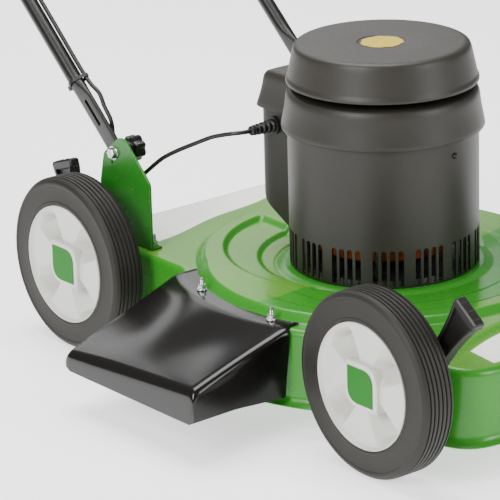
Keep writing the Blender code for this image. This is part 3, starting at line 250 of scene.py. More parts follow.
@dataclass(frozen=True)
class PrintedEnamel(Finish):
    """Deck enamel: saturated green with a lighter green printed on the level lands, and pale bands."""

    print_colour: str = "#538A2A"
    band_colour: str = "#FAFFF2"
    pedestal: float = 0.128

    def tone(self, tree: bpy.types.NodeTree, place: bpy.types.NodeSocket) -> bpy.types.NodeSocket:
        """Lays the print over the enamel.

        The light print is on level ground behind the motor and in a wedge ahead of it, where
        -y - 0.75 |x| passes a limit. The bands lie along the rear edge and the front edge.

        Args:
            tree: material's node tree.
            place: position from the motor's axis.

        Returns:
            Colour socket.
        """

        def calc(operation: str, a: object, b: object = 0.0) -> bpy.types.NodeSocket:
            """Result of one Math node."""
            return add_node(tree, "Math", {0: a, 1: b}, operation=operation).outputs[0]

        def past(value: object, edge: float, soft: float = 0.0012) -> bpy.types.NodeSocket:
            """Soft step from 0 before the edge to 1 past it."""
            node = add_node(
                tree, "MapRange", {"Value": value, "From Min": edge - soft, "From Max": edge + soft},
                interpolation_type="SMOOTHSTEP",
            )
            return node.outputs[0]

        def fold(operation: str, values: Iterable[bpy.types.NodeSocket]) -> bpy.types.NodeSocket:
            """Takes the values together, two at a time."""
            values = list(values)
            total = values[0]
            for value in values[1:]:
                total = calc(operation, total, value)
            return total

        green = super().tone(tree, place)
        axes = add_node(tree, "SeparateXYZ", {0: place}).outputs
        x, y, z = axes[0], axes[1], axes[2]
        flat = add_node(tree, "VectorMath", {0: place, 1: (1, 1, 0)}, operation="MULTIPLY").outputs[0]
        reach = add_node(tree, "VectorMath", {0: flat}, operation="LENGTH").outputs["Value"]
        width = calc("ABSOLUTE", x)
        normal = add_node(tree, "NewGeometry").outputs["Normal"]
        # The light print is kept to faces that point nearly straight up, so the sloping step walls keep the
        # darker plain enamel.
        level = past(add_node(tree, "SeparateXYZ", {0: normal}).outputs[2], 0.92, 0.06)
        top = past(z, 0.1235)
        wave = add_node(tree, "Math", {0: calc("MULTIPLY", x, 40.0)}, operation="SINE").outputs[0]
        rear = past(calc("SUBTRACT", y, calc("MULTIPLY", wave, 0.004)), -0.018)
        ahead = calc("SUBTRACT", calc("MULTIPLY", y, -1.0), calc("MULTIPLY", width, 0.75))
        wedge = fold("MULTIPLY", [past(ahead, 0.178), past(reach, 0.195)])
        lands = fold("MULTIPLY", [level, top, past(reach, self.pedestal), calc("MAXIMUM", rear, wedge)])
        behind = calc("SUBTRACT", y, calc("MULTIPLY", x, 0.22))
        curl = calc("ADD", behind, calc("MULTIPLY", wave, 0.003))
        inside = calc("SUBTRACT", 1.0, past(width, 0.150, 0.004))
        rear_band = fold("MULTIPLY", [past(curl, 0.296), inside, top])
        low = calc("ADD", calc("MULTIPLY", y, -1.0), calc("MULTIPLY", calc("MULTIPLY", x, x), -1.8))
        front_band = fold("MULTIPLY", [past(low, 0.262), calc("SUBTRACT", 1.0, past(width, 0.122)), top])
        before_edge = calc("SUBTRACT", 1.0, past(calc("MULTIPLY", y, -1.0), 0.328))
        front_band = calc("MULTIPLY", front_band, before_edge)
        printed = add_node(
            tree, "Mix", {0: lands, 6: green, 7: linear(self.print_colour)}, data_type="RGBA"
        )
        banded = add_node(
            tree, "Mix",
            {0: calc("MAXIMUM", rear_band, front_band), 6: printed.outputs[2],
             7: linear(self.band_colour)},
            data_type="RGBA",
        )
        return banded.outputs[2]


# Alkyd enamel sprayed on pressed steel: a wet gloss with a faint orange peel.
DECK_ENAMEL = PrintedEnamel(
    "gloss alkyd enamel, spring green", "#318421", "#2B791D", 0.26, 0.05, ior=1.4, grain_mm=6,
    bump_mm=0.03,
)
GREEN_ENAMEL = Finish(
    "gloss alkyd enamel, bracket green", "#277720", "#226C1B", 0.26, 0.05, ior=1.4, grain_mm=6,
    bump_mm=0.03,
)
# Stoved black enamel on folded sheet: mirror-like, with orange peel that softens reflections.
BLACK_ENAMEL = Finish(
    "stoved black enamel on steel sheet", "#0B0A09", "#100E0C", 0.17, 0.05, ior=1.42, grain_mm=2.5,
    bump_mm=0.07, mottle_mm=60,
)
# ABS moulded in a spark-eroded tool: a fine sparkle that scatters light.
GREY_ABS = Finish(
    "spark-textured ABS, warm dark grey", "#211F1A", "#28251F", 0.46, 0.12, ior=1.45, grain_mm=1.6,
    bump_mm=0.09, mottle_mm=12,
)
BLACK_NYLON = Finish(
    "glass-filled nylon, black", "#0E0D0C", "#141210", 0.42, 0.08, grain_mm=1.2, bump_mm=0.05
)
# Tread rubber: carbon-black compound, matt, with a little dust in it.
TYRE_RUBBER = Finish(
    "moulded tyre rubber", "#191713", "#211E19", 0.56, 0.12, ior=1.4, grain_mm=1.4, bump_mm=0.08, mottle_mm=18
)
RIM_NYLON = Finish(
    "natural white polypropylene", "#D2D1CB", "#C6C6C0", 0.38, 0.06, grain_mm=2.5, bump_mm=0.03
)
GREEN_PP = Finish(
    "green polypropylene insert", "#177017", "#136614", 0.5, 0.06, ior=1.3, grain_mm=1.5, bump_mm=0.02
)
HANDLE_PAINT = Finish(
    "baked enamel on steel tube, umber black", "#0D0C0A", "#151310", 0.3, 0.06,
    grain_mm=3, bump_mm=0.03,
)
ZINC = Finish(
    "bright zinc plate", "#C9CAC9", "#B4B6B8", 0.26, 0.08, 1.0, grain_mm=0.9, bump_mm=0.03,
    mottle_mm=6,
)
STEEL = Finish(
    "ground steel", "#A7A8AA", "#96989A", 0.34, 0.1, 1.0, grain_mm=0.7, bump_mm=0.03,
    stretch=(1, 8, 1),
)
CAST_ALUMINIUM = Finish(
    "sand-cast aluminium", "#6E6F70", "#5F6061", 0.5, 0.1, 1.0, grain_mm=1.6, bump_mm=0.12
)
LAMINATIONS = Banded(
    "varnished steel laminations", "#6D6A68", "#5C5957", 0.45, 0.1, 0.9, bump_mm=0.1, pitch_mm=1.5
)
COPPER = Banded(
    "enamelled copper winding", "#8A4522", "#6B3017", 0.4, 0.08, 0.9, bump_mm=0.3, pitch_mm=2.2,
    axis="DIAGONAL",
)
# Flexible cable sheath: soft extruded rubber with a low sheen.
SHEATH = Finish(
    "extruded rubber cable sheath", "#100F0D", "#161412", 0.4, 0.06, grain_mm=2.0, bump_mm=0.03
)
FOAM = Finish(
    "closed-cell foam grip", "#151515", "#1C1C1C", 0.85, 0.08, grain_mm=1.1, bump_mm=0.25,
    mottle_mm=8,
)
RED_ABS = Finish("gloss ABS, signal red", "#9E120E", "#92100C", 0.3, 0.04, coat=0.2)
STICKER = Finish(
    "matt vinyl sticker, yellow", "#C0A600", "#B59C00", 0.45, 0.05, grain_mm=3, bump_mm=0.03
)
FLOOR = Finish("matt studio floor", "#F4F4F4", "#F1F1F1", 0.8, 0.02, mottle_mm=900, bump_mm=0.0)


# Shape functions, all on whole arrays


def ease(value: Array) -> Array:
    """Cubic step: 3 t^2 - 2 t^3 of the value clipped to 0..1."""
    t = np.clip(value, 0.0, 1.0)
    return t * t * (3.0 - 2.0 * t)


def soft_max(first: Array, second: Array, soft: float) -> Array:
    """Larger of two arrays with a rounded join: soft * log(exp(a/soft) + exp(b/soft))."""
    return soft * np.logaddexp(first / soft, second / soft)


def rounded(points: Sequence[Sequence[float]], radius: float | Sequence[float], steps: int = 5,
            closed: bool = True) -> Array:
    """Rounds a polyline's corners.

    Each corner becomes a quadratic curve between points set back from it by the radius, at most 45%
    of the shorter neighbour.

    Args:
        points: corners, in order.
        radius: set-back for all corners, or one for each.
        steps: intervals on each corner.
        closed: whether the last corner joins the first.

    Returns:
        Points of the rounded line.
    """
    p = np.asarray(points, float)
    radii = np.broadcast_to(np.asarray(radius, float), len(p))
    before, after = np.roll(p, 1, 0) - p, np.roll(p, -1, 0) - p
    back, on = np.linalg.norm(before, axis=1), np.linalg.norm(after, axis=1)
    set_back = np.minimum(radii, 0.45 * np.minimum(back, on))
    if not closed:
        set_back = set_back.copy()
        set_back[[0, -1]] = 0.0
    start = p + before * (set_back / np.maximum(back, 1e-12))[:, None]
    end = p + after * (set_back / np.maximum(on, 1e-12))[:, None]
    t = np.linspace(0, 1, steps + 1)[None, :, None]
    curve = (1 - t) ** 2 * start[:, None] + 2 * t * (1 - t) * p[:, None] + t**2 * end[:, None]
    flat = curve.reshape(-1, p.shape[1])
    keep = np.ones(len(flat), bool)
    keep[1:] = np.linalg.norm(np.diff(flat, axis=0), axis=1) > 1e-7
    return flat[keep]


def smooth_path(points: Sequence[Sequence[float]], steps: int = 8) -> Array:
    """Catmull-Rom curve through the points, with an equal number of steps to a span."""
    p = np.asarray(points, float)
    p = np.vstack([2 * p[0] - p[1], p, 2 * p[-1] - p[-2]])
    t = np.linspace(0, 1, steps, endpoint=False)[None, :, None]
    a, b, c, d = p[:-3, None], p[1:-2, None], p[2:-1, None], p[3:, None]
    curve = (2 * b + (c - a) * t + (2 * a - 5 * b + 4 * c - d) * t**2
             + (3 * b - a - 3 * c + d) * t**3) / 2
    return np.vstack([curve.reshape(-1, 3), p[-2]])


def grid_faces(rows: int, cols: int, around: bool = False, along: bool = False) -> Array:
    """Quads of a grid of rows by cols points, wrapped round its columns or its rows."""
    r = np.arange(rows if along else rows - 1)[:, None]
    c = np.arange(cols if around else cols - 1)[None, :]
    r2, c2 = (r + 1) % rows, (c + 1) % cols
    corners = (r * cols + c, r * cols + c2, r2 * cols + c2, r2 * cols + c)
    return np.stack([np.broadcast_to(k, (r.shape[0], c.shape[1])) for k in corners], -1).reshape(-1, 4)


def rings_about(profile: Array, segments: int, basis: Array, centre: Sequence[float]) -> Array:
    """Turns a profile about an axis.

    Args:
        profile: (radius, height along the axis) points.
        segments: steps round the axis.
        basis: three rows: first radial direction, second radial direction, axis.
        centre: point on the axis at height 0.

    Returns:
        Points in an array of profile by segments by 3.
    """
    angle = np.linspace(0, 2 * np.pi, segments, endpoint=False)
    round_unit = np.cos(angle)[:, None] * basis[0] + np.sin(angle)[:, None] * basis[1]
    return profile[:, :1, None] * round_unit[None] + profile[:, 1:, None] * basis[2] + np.asarray(centre)


def axis_basis(direction: Sequence[float], up: Sequence[float] = (0, 0, 1)) -> Array:
    """Right-handed rows u, v, w with w along the direction and v as near to up as it can be."""
    w = np.asarray(direction, float) / np.linalg.norm(direction)
    up = np.asarray(up, float)
    if abs(w @ up) > 0.99:
        up = np.array([0.0, 1.0, 0.0])
    u = np.cross(up, w)
    u /= np.linalg.norm(u)
    return np.array([u, np.cross(w, u), w])


def sweep(path: Array, radius: Array | float, segments: int) -> Array:
    """Carries a circle along a path.

    A point is path + r cos(t) u + r sin(t) v, where u and v are square to the path, and u is carried
    along it untwisted.

    Args:
        path: points along the middle.
        radius: radius, or one for each point.
        segments: steps round the section.

    Returns:
        Points in an array of path by segments by 3.
    """
    tangent = np.gradient(path, axis=0)
    tangent /= np.linalg.norm(tangent, axis=1)[:, None]
    u = np.empty_like(path)
    guess = np.cross(tangent[0], (0.3, 0.2, 0.93))
    for i, t in enumerate(tangent):
        guess = guess - t * (guess @ t)
        guess /= np.linalg.norm(guess)
        u[i] = guess
    v = np.cross(tangent, u)
    r = np.broadcast_to(np.asarray(radius, float), len(path))[:, None, None]
    angle = np.linspace(0, 2 * np.pi, segments, endpoint=False)
    return (path[:, None] + r * np.cos(angle)[None, :, None] * u[:, None]
            + r * np.sin(angle)[None, :, None] * v[:, None])


class Workshop:
    """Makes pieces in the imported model's frame and dresses them."""

    def __init__(self, frame: dict) -> None:
        """Takes the motor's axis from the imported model.
        """
        spin = next(j for j in frame["joints"] if j["name"] == "rotor_spin")
        self.origin = np.array([spin["pos_m"][0], spin["pos_m"][1], 0.0])
        self.nodes = frame["nodes"]
        self.materials: dict[str, bpy.types.Material] = {}
        self.used: set[str] = set()

    def finish(self, finish: Finish) -> bpy.types.Material:
        """Returns the finish's one material, made at its first use."""
        if finish.name not in self.materials:
            self.materials[finish.name] = finish.make(self.origin)
        return self.materials[finish.name]

    def shape(self, name: str, points: Array, faces: Iterable[Sequence[int]]) -> bpy.types.Object:
        """Makes an object of points from the motor's axis, its doubles merged and normals outward."""
        mesh = bpy.data.meshes.new(name)
        placed = np.asarray(points, float).reshape(-1, 3) + self.origin
        mesh.from_pydata(placed.tolist(), [], [list(map(int, f)) for f in faces])
        shape = bmesh.new()
        shape.from_mesh(mesh)
        bmesh.ops.remove_doubles(shape, verts=shape.verts, dist=2e-6)
        bmesh.ops.recalc_face_normals(shape, faces=shape.faces)
        shape.to_mesh(mesh)
        shape.free()
        made = bpy.data.objects.new(name, mesh)
        bpy.context.scene.collection.objects.link(made)
        return made

    def grid(self, name: str, points: Array, around: bool = False, along: bool = False,
             caps: bool = False) -> bpy.types.Object:
        """Makes an object of a grid of points; caps close the first and last rows."""
        rows, cols = points.shape[:2]
        faces = [list(f) for f in grid_faces(rows, cols, around, along)]
        if caps:
            faces += [list(range(cols)), list(range((rows - 1) * cols, rows * cols))]
        return self.shape(name, points, faces)

    def turned(self, name: str, profile: Sequence[Sequence[float]], centre: Sequence[float],
               axis: Sequence[float] = (0, 0, 1), segments: int = 48,
               radius: float = 0.0) -> bpy.types.Object:
        """Makes a turned piece from a profile that starts and ends on the axis."""
        line = rounded(profile, radius, 4, closed=False) if radius else np.asarray(profile, float)
        return self.grid(name, rings_about(line, segments, axis_basis(axis), centre), around=True)

    def drill(self, radius: float, reach: float, centre: Sequence[float], segments: int) -> bpy.types.Object:
        """Makes the cutter of a round hole along X, reaching as far each way from its centre."""
        profile = [(0, reach), (radius, reach), (radius, -reach), (0, -reach)]
        return self.turned("hole", profile, centre, (1, 0, 0), segments)

    def plate(self, name: str, outline: Array, low: float, high: float, origin: Sequence[float],
              basis: Array, edge: float = 0.0004) -> bpy.types.Object:
        """Makes a flat piece with softened edges.

        The outline runs at four heights: inset by edge at both faces and full size between them.

        Args:
            name: the piece's name.
            outline: closed outline, anticlockwise, in the first two basis directions.
            low: height of one face along the third.
            high: height of the other.
            origin: place of the outline's zero.
            basis: three unit rows.
            edge: rounding of the two rims.

        Returns:
            The object.
        """
        following = np.roll(outline, -1, 0) - np.roll(outline, 1, 0)
        normal = np.stack([following[:, 1], -following[:, 0]], 1)
        normal /= np.maximum(np.linalg.norm(normal, axis=1), 1e-12)[:, None]
        inset = outline - normal * edge
        levels = ((inset, low), (outline, low + edge), (outline, high - edge), (inset, high))
        rows = [flat @ basis[:2] + height * basis[2] + np.asarray(origin) for flat, height in levels]
        return self.grid(name, np.array(rows), around=True, caps=True)

    def block(self, name: str, size: Sequence[float], centre: Sequence[float], basis: Array,
              corner: float = 0.003, edge: float = 0.002) -> bpy.types.Object:
        """Makes a box of that size with rounded corners in its first two directions."""
        a, b, c = np.asarray(size, float) / 2
        outline = rounded([(-a, -b), (a, -b), (a, b), (-a, b)], corner)
        return self.plate(name, outline, -c, c, centre, basis, edge)

    def settle(self, piece: bpy.types.Object) -> bpy.types.Object:
        """Applies the piece's modifiers and keeps its name."""
        bpy.context.view_layer.update()
        graph = bpy.context.evaluated_depsgraph_get()
        mesh = bpy.data.meshes.new_from_object(piece.evaluated_get(graph))
        piece.modifiers.clear()
        old = piece.data
        piece.data = mesh
        bpy.data.meshes.remove(old)
        return piece

    def combine(self, piece: bpy.types.Object, others: Iterable[bpy.types.Object],
                operation: str) -> bpy.types.Object:
        """Cuts others from a piece, or joins them to it, and removes them."""
        others = list(others)
        for other in others:
            change = piece.modifiers.new(other.name, "BOOLEAN")
            change.operation = operation
            change.solver = "EXACT"
            change.object = other
        self.settle(piece)
        for other in others:
            bpy.data.objects.remove(other)
        return piece

    def merge(self, piece: bpy.types.Object, others: Iterable[bpy.types.Object]) -> bpy.types.Object:
        """Adds other closed bodies to a piece's mesh and removes their objects."""
        whole = bmesh.new()
        whole.from_mesh(piece.data)
        for other in others:
            whole.from_mesh(other.data)
            bpy.data.objects.remove(other)
        whole.to_mesh(piece.data)
        whole.free()
        return piece

    def wall(self, piece: bpy.types.Object, thickness: float) -> bpy.types.Object:
        """Gives an open surface its thickness, inwards."""
        solid = piece.modifiers.new("wall", "SOLIDIFY")
        solid.thickness = thickness
        solid.offset = -1
        return self.settle(piece)

    def face_up(self, piece: bpy.types.Object) -> None:
        """Turns an open shell over if most of its area looks down."""
        if sum(p.normal.z * p.area for p in piece.data.polygons) < 0:
            piece.data.flip_normals()

    def put(self, piece: bpy.types.Object, finish: Finish, body: str, replaces: Sequence[str] = (),
            sharp: float = 32) -> bpy.types.Object:
        """Dresses a piece and lets it move with a body.

        Args:
            piece: finished object.
            finish: its finish.
            body: name of the body that it moves with.
            replaces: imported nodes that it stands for.
            sharp: edges over this angle, in degrees, stay crisp.

        Returns:
            The piece.
        """
        piece.data.materials.clear()
        piece.data.materials.append(self.finish(finish))
        piece.data.shade_smooth()
        piece.data.set_sharp_from_angle(angle=math.radians(sharp))
        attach(piece, body)
        if replaces:
            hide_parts(*replaces)
            self.used.update(replaces)
        LOG.info("%s rides on %s", piece.name, body)
        return piece

    def dress(self, finish: Finish, *names: str) -> None:
        """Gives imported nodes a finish."""
        for name in names:
            node = self.nodes[name]
            node.data.materials.clear()
            node.data.materials.append(self.finish(finish))
            self.used.add(name)
            LOG.info("%s keeps its shape", name)


UPRIGHT = np.eye(3)


@dataclass
class Deck:
    """Pressed-steel deck: raised ring, eccentric steps, pedestal, walls and lip."""

    top: float = 0.130
    rim: float = 0.0385
    half_width: float = 0.188
    front: float = 0.342
    rear: float = 0.362
    corner: float = 0.060
    bulge: float = 0.248
    shoulder: float = 0.009
    lip: float = 0.0085
    sheet: float = 0.0018
    ring: float = 0.2225
    pedestal_top: float = 0.1399
    pedestal: float = 0.1205
    outlet_size: tuple[float, float, float] = (0.090, 0.217, 0.064)
    outlet_centre: tuple[float, float, float] = (-0.233, 0.0265, 0.088)
    lever_hole: float = 0.0057
    lever_holes_y: tuple[float, float] = (-0.286, 0.356)
    columns: int = 372
    steps: tuple[tuple[float, float, float], ...] = (
        (0.060, 0.157, 0.0062), (0.030, 0.134, 0.0052), (0.010, 0.1265, 0.0030),
    )

    def reach(self, angle: Array) -> Array:
        """Distance to the wall: a rounded box, joined softly to a circle round the blade."""
        c, s = np.cos(angle), np.sin(angle)
        depth = np.where(s > 0, self.rear, self.front)
        power = 9.0
        box = (np.abs(c / self.half_width) ** power + np.abs(s / depth) ** power) ** (-1 / power)
        return soft_max(box, np.full_like(box, self.bulge), 0.0035)

    def height(self, x: Array, y: Array) -> Array:
        """Height of the top.

        The margin carries a ring whose edge is the union of two circles; three circular steps
        inside it, each moved further back, fall towards the motor, and the pedestal rises there.

        Args:
            x: places across.
            y: places along.

        Returns:
            Heights.
        """
        reach = np.hypot(x, y)
        edge = np.maximum(self.ring - reach, 0.198 - np.hypot(x, y - 0.045))
        back = ease(y / 0.24)
        rise = 0.0115 + 0.0050 * back
        z = self.top + rise * ease((edge + 0.006) / 0.0140)
        for shift, radius, drop in self.steps:
            inside = radius - np.hypot(x, y - shift)
            bridge = ease((np.abs(x) - 0.014) / 0.010) if shift > 0.05 else 1.0
            share = 0.55 + 0.45 * back
            z = z - drop * share * ease(inside / 0.0080 + 0.5) * bridge
        z = z - 0.0030 * ease((0.193 - reach) / 0.010 + 0.5) * ease(-y / 0.06)
        z = z - 0.0022 * ease((0.160 - reach) / 0.008 + 0.5) * ease(-y / 0.06)
        flare = self.pedestal_top - 0.0165 * ease((reach - self.pedestal) / 0.030)
        z = soft_max(z, flare, 0.0006)
        z = np.where(reach < self.pedestal, self.pedestal_top, np.maximum(z, self.top - 0.004))
        ridge = -(y + 0.253 + 1.8 * x * x)
        crown = 0.0050 * ease((-y - 0.150) / 0.05) * ease(-edge / 0.010) * (1 - ease(ridge / 0.007 + 0.5))
        slope = 0.0035 * ease(ridge / 0.06)
        return z + crown * ease((0.184 - np.abs(x)) / 0.02) - slope

    def build(self, shop: Workshop) -> None:
        """Makes the deck with its outlet and its holes."""
        angle = np.linspace(0, 2 * np.pi, self.columns, endpoint=False)
        unit = np.stack([np.cos(angle), np.sin(angle)], 1)
        wall = self.reach(angle)
        inner = np.concatenate([np.linspace(0.016, 0.119, 6), np.linspace(0.1205, 0.236, 84)])[:, None]
        share = np.linspace(0, 1, 24)[1:, None]
        outer = 0.236 + (wall[None] - self.shoulder - 0.236) * share
        across = np.vstack([np.broadcast_to(inner, (len(inner), len(wall))), outer])
        x, y = across * unit[:, 0], across * unit[:, 1]
        top = np.stack([x, y, self.height(x, y)], -1)
        edge_z = top[-1, :, 2]
        turn = np.linspace(0, np.pi / 2, 6)[1:, None]
        out = wall[None] - self.shoulder + self.shoulder * np.sin(turn)
        down = edge_z[None] - self.shoulder * (1 - np.cos(turn))
        drop = np.linspace(0, 1, 7)[1:, None]
        low = self.rim + 0.012
        wall_z = down[-1] + (low - down[-1]) * drop
        wall_out = np.broadcast_to(wall, wall_z.shape) + 0.0015 * drop
        curl = np.linspace(0, 1, 6)[1:, None]
        lip_z = low + (self.rim - low) * curl**0.8
        lip_out = wall + 0.0015 + self.lip * curl**2
        radii = np.vstack([out, wall_out, lip_out])
        heights = np.vstack([down, wall_z, np.broadcast_to(lip_z, (5, len(wall)))])
        skirt = np.stack([radii * unit[:, 0], radii * unit[:, 1], heights], -1)
        deck = shop.grid("deck_shell", np.vstack([top, skirt]), around=True)
        shop.face_up(deck)
        shop.wall(deck, self.sheet)
        outlet = shop.block("outlet", self.outlet_size, self.outlet_centre, UPRIGHT, 0.012, 0.004)
        holes = [
            shop.drill(self.lever_hole, 0.02, (side * self.half_width, y, WHEEL_RADIUS), 20)
            for side in (-1, 1) for y in self.lever_holes_y
        ]
        shop.combine(deck, [outlet, *holes], "DIFFERENCE")
        shop.put(deck, DECK_ENAMEL, "mower", ["deck"], 62)


@dataclass
class Chute:
    """Folded sheet hood: a flange on the deck, an arched fold, a sloping plate and a turned lip."""

    inner: float = 0.2285
    fold: float = 0.2505
    rear: float = 0.143
    front: float = -0.090
    lip_x: float = -0.375
    lip_front: float = 0.0905
    lip_rear: float = 0.0715
    lip_low: float = 0.0490
    height: float = 0.1326
    sheet: float = 0.0018
    corner: float = 0.009
    bolt_circle: float = 0.236
    bolt_angles: tuple[float, float] = (161.0, 195.0)

    def section(self, y: Array) -> Array:
        """Upper sheet at each y, from the flange's inner edge to the lip's lower edge."""
        share = (self.rear - y) / (self.rear - self.front)
        lip_top = self.lip_rear + (self.lip_front - self.lip_rear) * share
        flange = np.stack([-np.sqrt(self.inner**2 - y**2), y, np.full_like(y, self.height)], -1)
        bend = np.stack([-np.sqrt(self.fold**2 - y**2), y, np.full_like(y, self.height)], -1)
        lip = np.stack([np.full_like(y, self.lip_x), y, lip_top], -1)
        foot = np.stack([np.full_like(y, self.lip_x), y, np.full_like(y, self.lip_low)], -1)
        corners = np.stack([flange, bend, lip, foot], 1)
        line = np.array([rounded(row, [0, 0.008, 0.012, 0], 7, closed=False) for row in corners])
        fine = np.linspace(0, 1, 11)[None, :, None]
        plate = line[:, 8:9] + (line[:, 9:10] - line[:, 8:9]) * fine
        wave = 0.0016 * np.sin(np.pi * share) + 0.0011 * np.sin(3.4 * np.pi * share + 0.6)
        plate[..., 2] -= wave[:, None] * np.sin(np.pi * fine[0, :, 0])
        return np.concatenate([line[:, :8], plate, line[:, 10:]], 1)

    def build(self, shop: Workshop) -> None:
        """Makes the hood with its side walls, and its two bolts."""
        y = np.linspace(self.rear, self.front, 42)
        sheet = self.section(y)
        count = sheet.shape[1]
        walls = []
        for row, sign in ((sheet[-1], -1.0), (sheet[0], 1.0)):
            if sign < 0:
                low = np.interp(-row[:, 0], [0.205, 0.224, 0.242, 0.312, 0.376],
                                [0.131, 0.062, 0.0495, 0.0545, 0.0535])
            else:
                low = np.interp(-row[:, 0], [0.170, 0.225, 0.376], [0.131, 0.095, 0.052])
            fall = np.maximum(row[:, 2] - low, 0.0)
            fall[:8] *= np.linspace(0, 1, 8) ** 2
            bend = np.minimum(self.corner, fall * 0.6)
            turn = np.linspace(0, np.pi / 2, 6)[1:, None]
            arc = np.stack([
                np.broadcast_to(row[:, 0], (5, count)),
                row[:, 1] + sign * bend * np.sin(turn),
                row[:, 2] - bend * (1 - np.cos(turn)),
            ], -1)
            drop = np.linspace(0, 1, 6)[1:, None]
            side = np.stack([
                np.broadcast_to(row[:, 0], (5, count)),
                np.broadcast_to(row[:, 1] + sign * bend, (5, count)),
                row[:, 2] - bend - (fall - bend) * drop,
            ], -1)
            walls.append(np.vstack([arc, side]))
        hood = shop.grid("chute_hood", np.vstack([walls[1][::-1], sheet, walls[0]]))
        shop.face_up(hood)
        shop.wall(hood, self.sheet)
        shop.put(hood, BLACK_ENAMEL, "mower", ["chute"], 50)
        for number, angle in enumerate(np.radians(self.bolt_angles), 1):
            where = self.bolt_circle * np.array([math.cos(angle), math.sin(angle), 0])
            where[2] = self.height + 0.0003
            Fastener().stud(shop, f"chute_stud_{number}", where, f"chute_bolt_{number}")


@dataclass
class Fastener:
    """Zinc-plated bolts, nuts and screws."""

    radius: float = 0.003

    def hexagon(self, across: float) -> Array:
        """Outline of a hexagon with slightly rounded corners."""
        angle = np.radians(np.arange(6) * 60.0)
        return rounded(np.stack([np.cos(angle), np.sin(angle)], 1) * across, 0.0006, 2)

    def stud(self, shop: Workshop, name: str, foot: Array, node: str) -> None:
        """Makes a threaded end with its washer and flanged nut, and the head below."""
        r = self.radius
        threads = 9
        z = np.linspace(0.002, 0.0135, threads * 2 + 1)
        ridge = r - 0.00035 * (np.arange(len(z)) % 2)
        profile = [(0, 0.0150), (r * 0.6, 0.0148), (r - 0.0004, 0.0139)]
        profile += list(zip(ridge[::-1], z[::-1]))
        profile += [(r * 2.0, 0.0018), (r * 2.1, 0.0012), (r * 2.1, 0.0002), (0, 0.0002)]
        thread = shop.turned(name, profile, foot, segments=24)
        nut = shop.plate(f"{name}_nut", self.hexagon(r * 1.85), 0.0010, 0.0066, foot, UPRIGHT, 0.0005)
        shop.combine(thread, [nut], "UNION")
        shop.put(thread, ZINC, "mower", [])
        head = shop.turned(
            f"{name}_head", [(0, -0.0048), (r * 1.2, -0.0054), (r * 1.75, -0.0070), (r * 1.2, -0.0082),
                             (0, -0.0086)], foot, segments=24,
        )
        shop.put(head, ZINC, "mower", [node])


